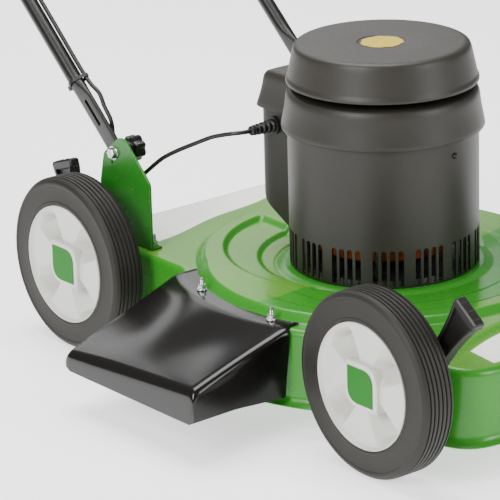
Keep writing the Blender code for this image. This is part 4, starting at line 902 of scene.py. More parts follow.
@dataclass
class Motor:
    """Motor housing: slotted lower cover, flared upper cover with its terminal box, and cap."""

    foot: float = 0.1406
    radius: float = 0.1155
    split: float = 0.3118
    lower_top: float = 0.3165
    upper_top: float = 0.3598
    cap_rim: float = 0.3678
    cap_top: float = 0.4138
    box_half: float = 0.0600
    box_rear: float = 0.1620
    box_foot: float = 0.1893
    wall: float = 0.0024
    groups: int = 14
    slot_width: float = 0.0068

    def plan(self, angle: Array, radius: Array, half: Array, rear: Array, soft: float = 0.0022) -> Array:
        """Outline of the covers: a circle joined softly to a round-cornered box at the rear."""
        c, s = np.abs(np.cos(angle)), np.maximum(np.sin(angle), 0.02)
        box = ((c / half) ** 22 + (s / rear) ** 22) ** (-1 / 22)
        box = np.where(np.sin(angle) > 0.02, box, 0.05)
        return soft_max(np.broadcast_to(radius, box.shape), box, soft) - soft * 0.02

    def angles(self) -> Array:
        """Steps round the covers, closer at the box's edges."""
        even = np.linspace(0, 2 * np.pi, 361)[:-1]
        close = np.radians(np.concatenate([np.linspace(56, 72, 40), np.linspace(108, 124, 40)]))
        return np.unique(np.round(np.concatenate([even, close]), 6))

    def column(self, angle: Array, radii: Array, heights: Array) -> Array:
        """Points at radii (rows by columns) round the axis, at one height to a row."""
        return np.stack([radii * np.cos(angle), radii * np.sin(angle),
                         np.broadcast_to(heights[:, None], radii.shape)], -1)

    def lower(self, shop: Workshop) -> None:
        """Makes the lower cover with its round-topped cooling slots."""
        angle = self.angles()
        z = np.concatenate([
            [self.foot, self.foot + 0.0008], np.linspace(self.foot + 0.004, 0.164, 5),
            np.linspace(0.166, 0.196, 19), np.linspace(0.200, self.lower_top, 12),
        ])
        rear = self.box_rear - 2.0 * 0.0031 * np.logaddexp(0, (self.box_foot - z) / 0.0031)
        rear = np.maximum(rear, 0.05)
        radius = self.radius - 0.0006 * (z < self.foot + 0.0005)
        radii = self.plan(angle[None], radius[:, None], np.full((len(z), 1), self.box_half), rear[:, None])
        cover = shop.grid("lower_cover", self.column(angle, radii, z), around=True)
        self.face_out(cover)
        shop.wall(cover, self.wall)
        shop.combine(cover, [self.slots(shop)], "DIFFERENCE")
        shop.put(cover, GREY_ABS, "mower", ["motor_lower_cover"], 40)

    def face_out(self, piece: bpy.types.Object) -> None:
        """Turns an upright shell over if most of its faces look towards its middle."""
        count = len(piece.data.polygons)
        normal, centre = np.empty(3 * count), np.empty(3 * count)
        piece.data.polygons.foreach_get("normal", normal)
        piece.data.polygons.foreach_get("center", centre)
        middle = centre.reshape(-1, 3) - centre.reshape(-1, 3).mean(0)
        if (normal.reshape(-1, 3)[:, :2] * middle[:, :2]).sum() < 0:
            piece.data.flip_normals()

    def slots(self, shop: Workshop) -> bpy.types.Object:
        """All slots as one cutter: prisms with round tops, left out where the box stands."""
        half = self.slot_width / 2
        turn = np.linspace(0, np.pi, 9)
        tops = np.stack([half * np.cos(turn), 0.0435 + half * np.sin(turn)], 1)
        outline = np.vstack([[(-half, 0.0022), (half, 0.0022)], tops])
        starts = np.array([
            np.pi / 2 + 2 * np.pi * (group + 0.5) / self.groups + np.radians(5.1) * (n - 1.5)
            for group in range(self.groups) for n in range(4)
        ])
        away = np.abs((starts - np.pi / 2 + np.pi) % (2 * np.pi) - np.pi)
        points, faces = [], []
        count = len(outline)
        for a in starts[away > math.radians(35)]:
            radial = np.array([math.cos(a), math.sin(a), 0])
            side = np.array([-math.sin(a), math.cos(a), 0])
            first = len(points)
            for reach in (self.radius - 0.012, self.radius + 0.008):
                ring = reach * radial + outline[:, :1] * side + outline[:, 1:] * np.array([0, 0, 1])
                points += list(ring + np.array([0, 0, self.foot]))
            faces += [[first + k for k in f] for f in grid_faces(2, count, around=True)]
            faces += [list(range(first, first + count)), list(range(first + count, first + 2 * count))]
        return shop.shape("slot_cutter", np.array(points), faces)

    def upper(self, shop: Workshop) -> None:
        """Makes the upper cover: it flares down to its lower edge and closes in over its top."""
        angle = self.angles()
        flare = np.array([1.0, 1.0, 0.86, 0.6, 0.36, 0.16, 0.06, 0.0, 0.0, 0.0])
        z = np.array([self.split, self.split + 0.0012, 0.318, 0.326, 0.334, 0.342, 0.348, 0.3525, 0.3570,
                      0.3590])
        pull = np.array([0.0006, 0, 0, 0, 0, 0, 0, 0.0004, 0.0022, 0.0048])
        radii = self.plan(
            angle[None], (self.radius + 0.0012 + 0.0062 * flare - pull)[:, None],
            (self.box_half + 0.0012 + 0.0054 * flare - pull)[:, None],
            (self.box_rear - 0.004 + 0.0090 * flare - 2 * pull)[:, None],
        )
        share = np.array([0.1, 0.35, 0.65, 1.0])[:, None]
        inner = radii[-1] - 0.003
        top = inner + (0.084 - inner) * share
        heights = np.concatenate([z, np.full(4, self.upper_top)])
        cover = shop.grid("upper_cover", self.column(angle, np.vstack([radii, top]), heights), around=True)
        self.face_out(cover)
        shop.wall(cover, self.wall)
        shop.put(cover, GREY_ABS, "mower", ["motor_upper_cover"], 40)

    def cap(self, shop: Workshop) -> None:
        """Makes the cap: a shallow round recess, a crowned top, a rounded edge and a flared side."""
        rim = self.radius + 0.0008
        t = self.cap_top
        outer = [(0.0, t - 0.0014), (0.0290, t - 0.0014), (0.0300, t - 0.0006), (0.060, t - 0.0002),
                 (0.098, t), (0.1020, t - 0.0006), (0.1048, t - 0.0022), (0.1066, t - 0.0052),
                 (0.1078, t - 0.0095), (rim - 0.0022, self.cap_rim + 0.0075), (rim, self.cap_rim + 0.0035),
                 (rim, self.cap_rim), (rim - 0.0022, self.cap_rim)]
        inner = [(0.1050, t - 0.0115), (0.0990, t - 0.0048), (0.0, t - 0.0042)]
        profile = rounded([*outer, *inner], 0.0016, 4, closed=False)
        cap = shop.grid("cap", rings_about(profile, 160, UPRIGHT, (0, 0, 0)), around=True)
        shop.put(cap, GREY_ABS, "mower", ["motor_cap"], 40)
        posts = shop.turned("cap_core", [(0, 0.3680), (0.078, 0.3680), (0.078, 0.3608), (0, 0.3608)],
                            (0, 0, 0), segments=64, radius=0.001)
        shop.put(posts, BLACK_NYLON, "mower", [])
        angle = np.linspace(0, 2 * np.pi, 120, endpoint=False)
        wobble = 0.0262 + 0.0007 * np.sin(7 * angle + 0.6) + 0.0005 * np.sin(13 * angle)
        outline = np.stack([wobble * np.cos(angle), 0.94 * wobble * np.sin(angle)], 1)
        label = shop.plate("round_sticker", outline, t - 0.0013, t - 0.0009, (0, 0, 0), UPRIGHT, 0.0001)
        shop.put(label, STICKER, "mower", [])

    def screws(self, shop: Workshop) -> None:
        """Makes the two small black screws on the covers."""
        for number in (1, 2):
            node = f"cover_screw_{number}"
            low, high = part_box(node)
            middle = (np.array(low) + np.array(high)) / 2 - shop.origin
            out = np.array([-1.0, 0, 0]) if number == 1 else middle * [1, 1, 0]
            profile = [(0, 0.0018), (0.0018, 0.0020), (0.0032, 0.0008), (0.0036, -0.0008), (0, -0.0008)]
            screw = shop.turned(f"pan_screw_{number}", profile, middle, out, 24)
            shop.put(screw, BLACK_NYLON, "mower", [node])

    def build(self, shop: Workshop) -> None:
        """Makes the housing and dresses what stands inside it."""
        self.lower(shop)
        self.upper(shop)
        self.cap(shop)
        self.screws(shop)
        shop.dress(LAMINATIONS, "stator_core", "rotor_core")
        shop.dress(COPPER, "winding_lower", "winding_upper")
        shop.dress(CAST_ALUMINIUM, "motor_base_plate", "bearing_bridge", "blade_hub")
        shop.dress(STEEL, "bearing_lower", "bearing_upper", "rotor_shaft", "blade")
        shop.dress(ZINC, "blade_bolt")
        shop.dress(BLACK_NYLON, "cooling_fan")


@dataclass
class Corner:
    """Corner of the mower, which a wheel and its height lever share."""

    end: End
    side: Side

    @property
    def tag(self) -> str:
        """Corner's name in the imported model."""
        return f"{self.end.name.lower()}_{self.side.name.lower()}"

    @property
    def axle_y(self) -> float:
        """Place of the axle along the mower."""
        return -0.250 if self.end is End.FRONT else 0.320


@dataclass
class Wheel(Corner):
    """Wheel on its axle: grooved tyre, pinwheel rim, square hub frame and green insert."""

    radius: float = WHEEL_RADIUS
    width: float = 0.046
    rim: float = 0.075
    middle_x: float = 0.230
    grooves: tuple[float, ...] = (-0.0145, -0.0085, -0.0025, 0.0035, 0.0095, 0.0150)
    facets: int = 4

    @property
    def basis(self) -> Array:
        """Rows: to the right as seen from outside, up, and outward."""
        sign = self.side.value
        return np.array([[0, sign, 0], [0, 0, 1], [sign, 0, 0]], float)

    @property
    def centre(self) -> Array:
        """Middle of the wheel."""
        return np.array([self.side.value * self.middle_x, self.axle_y, self.radius])

    def tyre(self, shop: Workshop) -> None:
        """Makes the tyre: a loop of sidewalls, round shoulders and a tread cut by square grooves."""
        half, r, inner = self.width / 2, self.radius, self.rim + 0.0003
        loop = [(inner, half - 0.0008), (inner + 0.0016, half), (0.0795, half), (0.0802, half - 0.0006),
                (0.1000, half - 0.0008), (0.1012, half - 0.0002), (0.1040, half - 0.0004),
                (0.1075, half - 0.0030), (r - 0.0006, half - 0.0060)]
        for at in sorted(self.grooves, reverse=True):
            loop += [(r, at + 0.0011), (r - 0.0019, at + 0.0008), (r - 0.0019, at - 0.0008),
                     (r, at - 0.0011)]
        loop += [(r - 0.0006, -half + 0.0060), (0.1075, -half + 0.0030), (0.1030, -half + 0.0006),
                 (0.0800, -half), (inner, -half)]
        line = rounded(loop, 0.0004, 2)
        points = rings_about(line, 144, self.basis, self.centre)
        tyre = shop.grid(f"grooved_tyre_{self.tag}", points, around=True, along=True)
        shop.put(tyre, TYRE_RUBBER, f"wheel_{self.tag}", [f"tyre_{self.tag}"], 28)

    def relief(self, across: Array, angle: Array) -> Array:
        """Depth of the rim's face below its edge.

        Round the hub, each quarter turn has a level facet, then a ramp down and a steeper one back up;
        the pit between them fades towards the hub and towards the edge.

        Args:
            across: distances from the axle.
            angle: angles from the right-hand direction.

        Returns:
            Depths.
        """
        quarter = 2 * np.pi / self.facets
        lead = 0.205 + 0.075 * (across - 0.03) / 0.045
        turn = np.mod(angle + 0.10 + quarter * lead, quarter) / quarter
        wide = 2 * lead
        fall = np.clip((turn - wide) / (0.55 * (1 - wide)), 0, 1)
        rise = np.clip((turn - wide - 0.55 * (1 - wide)) / (0.38 * (1 - wide)), 0, 1)
        pit = fall * (1 - rise)
        fade = np.clip((across - 0.026) / 0.010, 0, 1) * np.clip((0.0712 - across) / 0.0075, 0, 1)
        dish = 0.0040 * np.clip((0.0738 - across) / 0.0020, 0, 1) + 0.030 * np.clip(0.0716 - across, 0, 0.05)
        return dish + 0.0260 * pit * fade

    def rim_piece(self, shop: Workshop) -> None:
        """Makes the rim as one loop of profile, its face shaped by the relief."""
        half = self.width / 2
        angle = np.linspace(0, 2 * np.pi, 320, endpoint=False)
        face = np.concatenate([np.linspace(0.0066, 0.028, 5), np.linspace(0.0295, 0.0735, 46)])
        top = half + 0.0004
        rows = [(r, top - self.relief(np.full_like(angle, r), angle)) for r in face]
        edge = [(0.0742, top + 0.0006), (0.0749, top), (self.rim, half - 0.003), (self.rim, 0.001 - half),
                (0.071, 0.001 - half), (0.068, -0.006), (0.021, -0.008), (0.020, -half - 0.003),
                (0.0066, -half - 0.003)]
        rows += [(r, np.full_like(angle, h)) for r, h in edge]
        u, v, w = self.basis
        ray = np.cos(angle)[:, None] * u + np.sin(angle)[:, None] * v
        points = np.array([r * ray + np.asarray(h)[:, None] * w for r, h in rows]) + self.centre
        rim = shop.grid(f"pinwheel_rim_{self.tag}", points, around=True, along=True)
        shop.put(rim, RIM_NYLON, f"wheel_{self.tag}", [f"rim_{self.tag}"], 14)

    def square(self, side: float) -> Array:
        """Square outline with its top left and bottom right corners sharp, the others well rounded."""
        h = side / 2
        return rounded([(-h, -h), (h, -h), (h, h), (-h, h)], [0.42 * side, 0.001, 0.42 * side, 0.001], 10)

    def hub(self, shop: Workshop) -> None:
        """Makes the white hub frame and the green insert in it."""
        base = self.centre + self.basis[2] * (self.width / 2)
        frame = shop.plate(f"hub_frame_{self.tag}", self.square(0.054), -0.012, 0.0008, base,
                           self.basis, 0.0012)
        shop.put(frame, RIM_NYLON, f"wheel_{self.tag}", [])
        insert = shop.plate(f"hub_insert_{self.tag}", self.square(0.043), 0.0011, 0.0019, base,
                            self.basis, 0.0003)
        shop.put(insert, GREEN_PP, f"wheel_{self.tag}", [f"hub_cap_{self.tag}"])

    def build(self, shop: Workshop) -> None:
        """Makes the wheel."""
        self.tyre(shop)
        self.rim_piece(shop)
        self.hub(shop)
        shop.dress(ZINC, f"wheel_axle_{self.tag}")


@dataclass
class HeightLever(Corner):
    """Height lever: a crank on the deck, a flanged neck and a ribbed T-shaped paddle."""

    crank: float = 0.036
    inner: float = 0.192
    thickness: float = 0.005
    pin: float = 0.005

    def build(self, shop: Workshop) -> None:
        """Makes the lever from a crank, an I-shaped neck, the paddle's bar with its ribs, and a pin."""
        away, sign = self.end.value, self.side.value
        pivot = np.array([sign * (self.inner + self.thickness / 2), self.axle_y + away * self.crank,
                          WHEEL_RADIUS])
        angle, length = (52.5, 0.130) if self.end is End.FRONT else (72.0, 0.108)
        along = np.array([0, away * math.cos(math.radians(angle)), math.sin(math.radians(angle))])
        out = np.array([sign, 0, 0], float)
        basis = np.array([np.cross(along, out), along, out])
        crank_line = rounded(
            [(-0.013, -0.013), (0.013, -0.013), (0.013, 0.013 + self.crank), (-0.013, 0.013 + self.crank)],
            0.012, 8,
        )
        back = np.array([0, -away, 0], float)
        crank_basis = np.array([np.cross(back, out), back, out])
        lever = shop.plate(f"lever_body_{self.tag}", crank_line, -self.thickness / 2, self.thickness / 2,
                           pivot, crank_basis)
        s = np.linspace(0, 1, 15)
        half = 0.0085 + 0.006 * (1 - s) ** 2 + 0.0105 * s**3
        reach = s * (length - 0.004)
        neck = np.vstack([np.stack([half, reach], 1), np.stack([-half[::-1], reach[::-1]], 1)])
        web = shop.plate("web", neck, -0.0022, 0.0022, pivot, basis)
        parts = [web]
        for hand in (-1, 1):
            strip = np.vstack([
                np.stack([hand * (half + 0.0003), reach], 1)[5:],
                np.stack([hand * (half - 0.003), reach], 1)[5:][::-1],
            ])
            strip = strip if hand > 0 else strip[::-1]
            parts.append(shop.plate("flange", strip, -0.0085, 0.0075, pivot, basis, 0.0006))
        middle = pivot + along * length - out * 0.0003
        parts.append(shop.block("bar", (0.042, 0.0115, 0.0152), middle, basis, 0.0035, 0.0018))
        for rib in (-0.012, 0.0, 0.012):
            place = middle + along * 0.0038 + basis[0] * rib
            parts.append(shop.block("rib", (0.0022, 0.0052, 0.0128), place, basis, 0.0008, 0.0006))
        pin = [(0, 0.0071), (self.pin, 0.0071), (self.pin, -0.0165), (0, -0.0165)]
        parts.append(shop.turned("pin", pin, pivot, out, 24))
        shop.merge(lever, parts)
        shop.put(lever, BLACK_NYLON, f"height_lever_{self.tag}", [f"height_lever_{self.tag}"])


@dataclass
class Bracket:
    """Handle bracket: an upright plate on a turned-in foot, with its bolts and clamp knob."""

    side: Side
    pivot: tuple[float, float] = (0.3105, 0.2415)
    inner: float = 0.1733
    sheet: float = 0.003
    deck_top: float = 0.1303
    small_hole: float = 0.0021

    def knob(self, shop: Workshop, tag: str) -> None:
        """Makes the clamp knob: a boss and a head with seven lobes, radius r0 + a cos(7 t)."""
        sign = self.side.value
        where = np.array([sign * 0.1667, *self.pivot])
        basis = axis_basis((-sign, 0, 0))
        angle = np.linspace(0, 2 * np.pi, 140, endpoint=False)
        rows = []
        levels = ((0.0043, 0.0000, 0), (0.0092, 0.0000, 0), (0.0098, 0.0140, 0), (0.0110, 0.0150, 0.3),
                  (0.0140, 0.0158, 0.9), (0.0153, 0.0178, 1), (0.0153, 0.0285, 1), (0.0135, 0.0308, 0.8),
                  (0.0043, 0.0314, 0))
        for radius, height, lobe in levels:
            r = radius + 0.0017 * lobe * np.cos(7 * angle)
            ray = np.cos(angle)[:, None] * basis[0] + np.sin(angle)[:, None] * basis[1]
            rows.append(r[:, None] * ray + height * basis[2] + where)
        knob = shop.grid(f"lobed_knob_{tag}", np.array(rows), around=True, along=True)
        shop.put(knob, BLACK_NYLON, f"knob_{tag}", [f"clamp_knob_{tag}"])

    def build(self, shop: Workshop) -> None:
        """Makes the bracket, its foot bolt, pivot bolt and knob."""
        tag, sign = self.side.name.lower(), self.side.value
        y0, z0 = self.pivot
        foot = self.deck_top - z0
        outline = np.array([
            (-0.073, foot), (0.0305, foot), (0.0305, -0.042), (0.0215, -0.004), (-0.010, 0.0215),
            (-0.018, 0.0225), (-0.026, 0.0205), (-0.073, -0.025),
        ])
        soft = rounded(outline, [0.001, 0.001, 0.004, 0.004, 0.004, 0.003, 0.006, 0.006], 5)
        basis = np.array([[0, 1, 0], [0, 0, 1], [1, 0, 0]], float)
        low, high = sorted((sign * self.inner, sign * (self.inner + self.sheet)))
        plate = shop.plate(f"bracket_plate_{tag}", soft, low, high, (0, y0, z0), basis, 0.0004)
        centre = (sign * (self.inner - 0.0055), y0 - 0.02125, self.deck_top + self.sheet / 2)
        base = shop.block("foot", (0.0170, 0.1035, self.sheet), centre, UPRIGHT, 0.003, 0.0005)
        shop.combine(plate, [base], "UNION")
        across = (sign * (self.inner + self.sheet / 2), y0, z0)
        holes = [
            shop.drill(BOLT_HOLE, 0.006, across, 24),
            shop.drill(self.small_hole, 0.006, (across[0], y0 + 0.004, z0 - 0.0125), 20),
        ]
        shop.combine(plate, holes, "DIFFERENCE")
        shop.put(plate, GREEN_ENAMEL, "mower", [f"handle_bracket_{tag}"])
        dimple = shop.turned(
            f"bracket_dimple_{tag}", [(0, 0.0006), (0.0022, 0.0004), (0.0036, 0.0), (0, -0.0002)],
            (sign * (self.inner + self.sheet), y0 - 0.0395, z0 - 0.0375), (sign, 0, 0), 24,
        )
        shop.put(dimple, GREEN_ENAMEL, "mower", [])
        where = np.array([sign * (self.inner - 0.007), y0 - 0.064, self.deck_top + self.sheet + 0.0003])
        Fastener().stud(shop, f"foot_stud_{tag}", where, f"bracket_bolt_{tag}")
        self.pivot_bolt(shop, tag)
        self.knob(shop, tag)

    def pivot_bolt(self, shop: Workshop, tag: str) -> None:
        """Makes the pivot bolt: a chamfered hexagon head, a washer and its shank."""
        sign = self.side.value
        seat = np.array([sign * (self.inner + self.sheet + 0.0003), *self.pivot])
        basis = axis_basis((sign, 0, 0))
        bolt = shop.turned(
            f"hex_bolt_{tag}",
            [(0, 0.001), (0.0088, 0.001), (0.0092, 0.0006), (0.0092, 0.0001), (0.004, 0.0001),
             (0.004, -0.031), (0.0032, -0.032), (0, -0.032)],
            seat, (sign, 0, 0), 32,
        )
        head = shop.plate("head", Fastener().hexagon(0.0072), 0.0005, 0.0056, seat, basis, 0.0006)
        shop.combine(bolt, [head], "UNION")
        shop.put(bolt, ZINC, "mower", [f"pivot_bolt_{tag}"])


@dataclass
class Handle:
    """Folding handle: bent tube with flattened ends, grip, switch box, bail, button and cable tie."""

    pivot: tuple[float, float, float] = (0.0, 0.3105, 0.2415)
    slope: float = math.radians(42)
    half_width: float = 0.170
    length: float = 1.050
    bend: float = 0.050
    tube: float = 0.0095
    tab: float = 0.0125
    lead_lean: float = math.radians(50)
    tie_at: float = 0.110
    box_at: float = 0.800
    button_at: float = 0.828

    @property
    def lead_reach(self) -> float:
        """Distance from the leg's middle line to the lead's."""
        return self.tube + LEAD_RADIUS + 0.0012

    @property
    def box_x(self) -> float:
        """Place of the switch box's middle across the mower: half its width off the right leg."""
        return -self.half_width + self.tube + 0.0003 + 0.026

    def point(self, along: float | Array, lift: float | Array = 0.0, x: float | Array = 0.0) -> Array:
        """Place at a distance up the legs from the fold, off their plane, and across."""
        along, lift, x = np.broadcast_arrays(along, lift, x)
        y = self.pivot[1] + along * math.cos(self.slope) - lift * math.sin(self.slope)
        z = self.pivot[2] + along * math.sin(self.slope) + lift * math.cos(self.slope)
        return np.stack([x, y, z], -1).astype(float)

    @property
    def along(self) -> Array:
        """Unit direction up the legs."""
        return np.array([0, math.cos(self.slope), math.sin(self.slope)])

    @property
    def normal(self) -> Array:
        """Unit direction off the legs' plane, upwards."""
        return np.array([0, -math.sin(self.slope), math.cos(self.slope)])

    def frame(self, shop: Workshop) -> None:
        """Makes the tube: round above, pressed to a slotted tab at each lower end."""
        h, b, top = self.half_width, self.bend, self.length
        end = np.array([-0.0125, -0.0115, -0.0085, -0.004, 0.0, 0.02, 0.06, 0.078, 0.084, 0.090, 0.097,
                        0.104, 0.112, 0.120, 0.130, 0.18, 0.4, 0.7, top - b - 0.01])
        turn = np.linspace(0, np.pi / 2, 12)
        left = [(-h, a) for a in end]
        left += [(-(h - b) - b * math.cos(t), top - b + b * math.sin(t)) for t in turn]
        flat_line = np.array([*left, *[(-x, a) for x, a in reversed(left)]])
        path = self.point(flat_line[:, 1], 0.0, flat_line[:, 0])
        press = ease((0.120 - flat_line[:, 1]) / 0.042)
        near = np.clip((flat_line[:, 1] + 0.0126) / self.tab, 0.0, 1.0)
        tip = np.where(flat_line[:, 1] < 0, np.maximum(np.sqrt(near * 2 - near**2), 0.12), 1.0)
        wide = (self.tube + (self.tab - self.tube) * press) * tip
        thin = self.tube + (0.0030 - self.tube) * press
        angle = np.linspace(0, 2 * np.pi, 28, endpoint=False)
        power = 1 - 0.55 * press[:, None]
        tangent = np.gradient(path, axis=0)
        tangent /= np.linalg.norm(tangent, axis=1)[:, None]
        u = np.broadcast_to(self.normal, path.shape)
        v = np.cross(tangent, u)
        c, s = np.cos(angle)[None], np.sin(angle)[None]
        a = wide[:, None] * np.sign(c) * np.abs(c) ** power
        d = thin[:, None] * np.sign(s) * np.abs(s) ** power
        points = path[:, None] + a[..., None] * u[:, None] + d[..., None] * v[:, None]
        frame = shop.grid("handle_frame", points, around=True, caps=True)
        cutters = []
        basis = np.array([self.along, np.cross([1.0, 0, 0], self.along), [1.0, 0, 0]])
        for side in (-1, 1):
            cutters.append(shop.drill(BOLT_HOLE, 0.01, self.point(0.0, 0.0, side * h), 24))
            slot = rounded([(0.042, -0.0025), (0.082, -0.0025), (0.082, 0.0025), (0.042, 0.0025)], 0.0024)
            cutters.append(shop.plate("slot", slot, side * h - 0.01, side * h + 0.01,
                                      self.point(0.0), basis, 0.0001))
        shop.combine(frame, cutters, "DIFFERENCE")
        shop.put(frame, HANDLE_PAINT, "handle", ["handle_tube"], 40)

    def grip(self, shop: Workshop) -> None:
        """Makes the foam grip: a sleeve with a gentle swell and rounded ends."""
        x = np.linspace(-0.115, 0.115, 60)
        swell = 0.0133 + 0.0006 * np.sin(np.linspace(0, 12 * np.pi, 60))
        swell[[0, -1]] = 0.0110
        outer = np.stack([swell, x], 1)
        inner = np.array([(0.0098, 0.115), (0.0098, -0.115)])
        points = rings_about(np.vstack([outer, inner]), 40, axis_basis((1, 0, 0)), self.point(self.length))
        sleeve = shop.grid("foam_sleeve", points, around=True, along=True)
        shop.put(sleeve, FOAM, "handle", ["grip_sleeve"], 50)

    def controls(self, shop: Workshop) -> None:
        """Makes the switch box with its lid, button collar and gland, the button and the bail."""
        basis = np.array([[1, 0, 0], self.along, self.normal])
        x = self.box_x
        centre = self.point(self.box_at, 0.0, x)
        box = shop.block("control_box", (0.052, 0.110, 0.044), centre - self.normal * 0.0075, basis,
                         0.008, 0.003)
        lid = shop.block("lid", (0.0505, 0.1085, 0.0160), centre + self.normal * 0.0215, basis,
                         0.008, 0.0025)
        gland = shop.turned(
            "gland", [(0, 0.005), (0.0090, 0.005), (0.0090, -0.006), (0.0072, -0.008), (0.0072, -0.011),
                      (0.0062, -0.012), (0.0062, -0.022), (0, -0.022)],
            self.point(0.745, -0.008, x + 0.010), self.along, 32,
        )
        collar = shop.turned(
            "collar", [(0, 0.0004), (0.0130, 0.0004), (0.0140, -0.0008), (0.0140, -0.004), (0, -0.004)],
            self.point(self.button_at, 0.0298, x), self.normal, 40,
        )
        shop.combine(box, [lid, gland, collar], "UNION")
        well = shop.turned("well", [(0, 0.01), (0.0095, 0.01), (0.0095, -0.014), (0, -0.014)],
                           self.point(self.button_at, 0.030, x), self.normal, 40)
        shop.combine(box, [well], "DIFFERENCE")
        shop.put(box, BLACK_NYLON, "handle", ["switch_box"])
        button = shop.turned(
            "push_button", [(0, 0.0072), (0.005, 0.0076), (0.0078, 0.0080), (0.0090, 0.0066),
                            (0.0090, -0.005), (0, -0.005)],
            self.point(self.button_at, 0.030, x), self.normal, 40,
        )
        shop.put(button, RED_ABS, "button", ["safety_button"])
        shop.dress(HANDLE_PAINT, "bail_lever")

    def tie(self, shop: Workshop) -> None:
        """Makes the cable tie: a band round the leg and the lead, with its square lock."""
        leg = np.array([-self.half_width, 0.0])
        reach, lean = self.lead_reach, self.lead_lean
        lead = leg + reach * np.array([math.cos(lean), math.sin(lean)])
        tilt = math.acos((self.tube - LEAD_RADIUS) / reach)
        small = np.linspace(lean - tilt, lean + tilt, 16)
        large = np.linspace(lean + tilt, lean + 2 * np.pi - tilt, 44)
        line = np.vstack([
            lead + (LEAD_RADIUS + 0.0010) * np.stack([np.cos(small), np.sin(small)], 1),
            leg + (self.tube + 0.0010) * np.stack([np.cos(large), np.sin(large)], 1),
        ])
        middle = line.mean(0)
        outward = line - middle
        outward /= np.linalg.norm(outward, axis=1)[:, None]
        corners = ((-0.0023, -0.0006), (0.0023, -0.0006), (0.0023, 0.0006), (-0.0023, 0.0006))
        rows = [self.point(self.tie_at + a, (line + outward * b)[:, 1], (line + outward * b)[:, 0])
                for a, b in corners]
        band = shop.grid("tie_band", np.array(rows), around=True, along=True)
        basis = np.array([[1, 0, 0], self.along, self.normal])
        lock = shop.block("lock", (0.0062, 0.0062, 0.0050), self.point(self.tie_at, -0.0120, -0.1735),
                          basis, 0.001, 0.0006)
        shop.combine(band, [lock], "UNION")
        shop.put(band, BLACK_NYLON, "handle", ["cable_tie"])

    def build(self, shop: Workshop) -> None:
        """Makes the handle."""
        self.frame(shop)
        self.grip(shop)
        self.controls(shop)
        self.tie(shop)


@dataclass
class MotorLead:
    """Lead from the motor's strain relief to the right leg and up to the switch box."""

    start: tuple[tuple[float, float, float], ...] = (
        (-0.1000, 0.1320, 0.2930), (-0.1060, 0.1328, 0.2930), (-0.1116, 0.1350, 0.2928),
        (-0.1168, 0.1392, 0.2922), (-0.1206, 0.1455, 0.2908), (-0.1226, 0.1570, 0.2874),
        (-0.1244, 0.1780, 0.2800), (-0.1290, 0.2020, 0.2685),
        (-0.1350, 0.2320, 0.2535), (-0.1405, 0.2550, 0.2400), (-0.1450, 0.2720, 0.2260),
        (-0.1490, 0.2870, 0.2130), (-0.1530, 0.3020, 0.2060), (-0.1565, 0.3180, 0.2080),
        (-0.1585, 0.3300, 0.2200), (-0.1590, 0.3340, 0.2380), (-0.1590, 0.3340, 0.2560),
        (-0.1590, 0.3370, 0.2740), (-0.1590, 0.3500, 0.2900),
    )
    bend_start: tuple[float, float, float] = (-0.15, 0.265, 0.236)
    bend_end: tuple[float, float, float] = (-0.15, 0.372, 0.268)

    def route(self, handle: Handle) -> Array:
        """Smooth line through the free stretch, along the leg and into the switch box."""
        x = -handle.half_width + handle.lead_reach * math.cos(handle.lead_lean)
        lift = handle.lead_reach * math.sin(handle.lead_lean)
        box_x = handle.box_x - 0.009
        climb = [handle.point(0.080, lift + 0.004, x + 0.002), handle.point(handle.tie_at, lift, x)]
        climb += [handle.point(a, lift, x) for a in np.linspace(handle.tie_at, 0.655, 7)[1:]]
        climb += [handle.point(0.698, (lift + 0.019) / 2, (x + box_x) / 2)]
        climb += [handle.point(0.734, 0.019, box_x), handle.point(0.7444, 0.019, box_x)]
        return smooth_path([*self.start, *climb], 8)

    def build(self, shop: Workshop, handle: Handle) -> None:
        """Makes the lead, as one fixed curve past the fold, and the ribbed strain relief."""
        path = self.route(handle)
        lead = shop.grid("cable_lead", sweep(path, LEAD_RADIUS, 14), around=True, caps=True)
        lead.data.materials.append(shop.finish(SHEATH))
        lead.data.shade_smooth()
        lead.data.set_sharp_from_angle(angle=math.radians(40))
        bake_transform(lead)
        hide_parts("motor_lead", "handle_lead")
        shop.used.update(("motor_lead", "handle_lead"))
        LOG.info("%s bends from the mower to the handle", lead.name)
        spine = smooth_path([(-0.0603, 0.132, 0.293), (-0.075, 0.132, 0.293), (-0.090, 0.132, 0.293),
                             (-0.1002, 0.132, 0.293)], 40)
        s = np.linspace(0, 1, len(spine))
        ribs = 0.5 + 0.5 * np.cos(2 * np.pi * 6.5 * (s - 0.14))
        taper = 0.0088 - 0.0030 * s
        radius = np.where(s < 0.10, 0.0112, taper - 0.0020 * (1 - ease(ribs * 1.6 - 0.2)))
        relief = shop.grid("ribbed_relief", sweep(spine, radius, 32), around=True, caps=True)
        shop.put(relief, SHEATH, "mower", ["strain_relief"], 40)


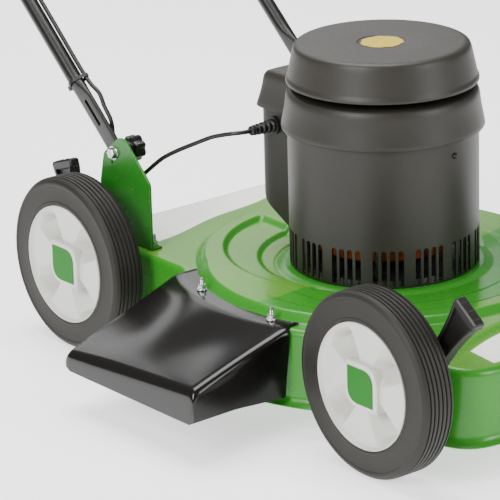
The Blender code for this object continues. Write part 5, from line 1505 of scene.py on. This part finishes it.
@dataclass
class Studio:
    """Pale floor, soft lights and the camera, whose place is given from the motor's axis."""

    place: tuple[float, float, float] = (-2.4928, -2.8968, 1.4617)
    yaw: float = -0.6677
    pitch: float = 0.3298
    roll: float = -0.0266
    lens: float = 238.68
    glow: float = 1.1
    ambient: float = 0.3
    floor_half: float = 14.0

    def camera(self, shop: Workshop) -> None:
        """Sets up the camera: its rows are right, up and back, turned by the roll."""
        y, p = self.yaw, self.pitch
        back = np.array([math.sin(y) * math.cos(p), -math.cos(y) * math.cos(p), math.sin(p)])
        right = np.cross(-back, (0, 0, 1))
        right /= np.linalg.norm(right)
        up = np.cross(right, -back)
        c, s = math.cos(self.roll), math.sin(self.roll)
        matrix = np.eye(4)
        matrix[:3, 0], matrix[:3, 1], matrix[:3, 2] = c * right + s * up, -s * right + c * up, back
        matrix[:3, 3] = np.array(self.place) + shop.origin
        data = bpy.data.cameras.new("studio_camera")
        data.lens = self.lens
        data.clip_end = 100
        camera = bpy.data.objects.new("studio_camera", data)
        camera.matrix_world = Matrix(matrix.tolist())
        bpy.context.scene.collection.objects.link(camera)
        bpy.context.scene.camera = camera

    def light(self, name: str, place: Sequence[float], size: Sequence[float], power: float,
              aim: Sequence[float] = (0, 0, 0.15)) -> None:
        """Adds a soft area light that looks at a point."""
        data = bpy.data.lights.new(name, "AREA")
        data.shape = "RECTANGLE"
        data.size, data.size_y = size
        data.energy = power
        lamp = bpy.data.objects.new(name, data)
        rows = axis_basis(np.asarray(place, float) - np.asarray(aim, float))
        matrix = np.eye(4)
        matrix[:3, :3] = rows.T
        matrix[:3, 3] = place
        lamp.matrix_world = Matrix(matrix.tolist())
        bpy.context.scene.collection.objects.link(lamp)

    def build(self, shop: Workshop) -> None:
        """Makes the floor and the lights."""
        world = bpy.data.worlds.new("studio_world")
        world.use_nodes = True
        world.node_tree.nodes["Background"].inputs[0].default_value = (1, 1, 1, 1)
        world.node_tree.nodes["Background"].inputs[1].default_value = self.ambient
        bpy.context.scene.world = world
        h = self.floor_half
        points = np.array([[(-h, -h, 0), (h, -h, 0)], [(-h, h, 0), (h, h, 0)]], float)
        floor = shop.grid("studio_floor", points)
        floor.data.materials.append(shop.finish(FLOOR))
        glow = shop.finish(FLOOR).node_tree.nodes["Principled BSDF"].inputs
        glow["Emission Color"].default_value = (1, 1, 1, 1)
        glow["Emission Strength"].default_value = self.glow
        shop.face_up(floor)
        self.light("overhead", (0.1, 0.4, 3.0), (2.2, 2.2), 135)
        self.light("key", (-3.3, -1.2, 2.3), (1.4, 2.2), 150)
        self.light("rear_strip", (1.35, 2.5, 1.75), (2.5, 1.1), 20)
        self.light("fill", (1.3, -3.7, 1.8), (1.0, 2.0), 80)


def main() -> None:
    """Builds the mower, piece by piece."""
    logging.basicConfig(level=logging.INFO, format="%(message)s")
    for leftover in list(bpy.data.objects):
        bpy.data.objects.remove(leftover)
    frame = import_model()
    shop = Workshop(frame)
    studio = Studio()
    studio.camera(shop)
    handle = Handle()
    MotorLead().build(shop, handle)
    Deck().build(shop)
    Chute().build(shop)
    Motor().build(shop)
    for end in End:
        for side in Side:
            Wheel(end, side).build(shop)
            HeightLever(end, side).build(shop)
    for side in Side:
        Bracket(side).build(shop)
    handle.build(shop)
    studio.build(shop)
    missed = sorted(set(shop.nodes) - shop.used)
    if missed:
        LOG.warning("nodes without a finish: %s", ", ".join(missed))


if __name__ == "__main__":
    main()
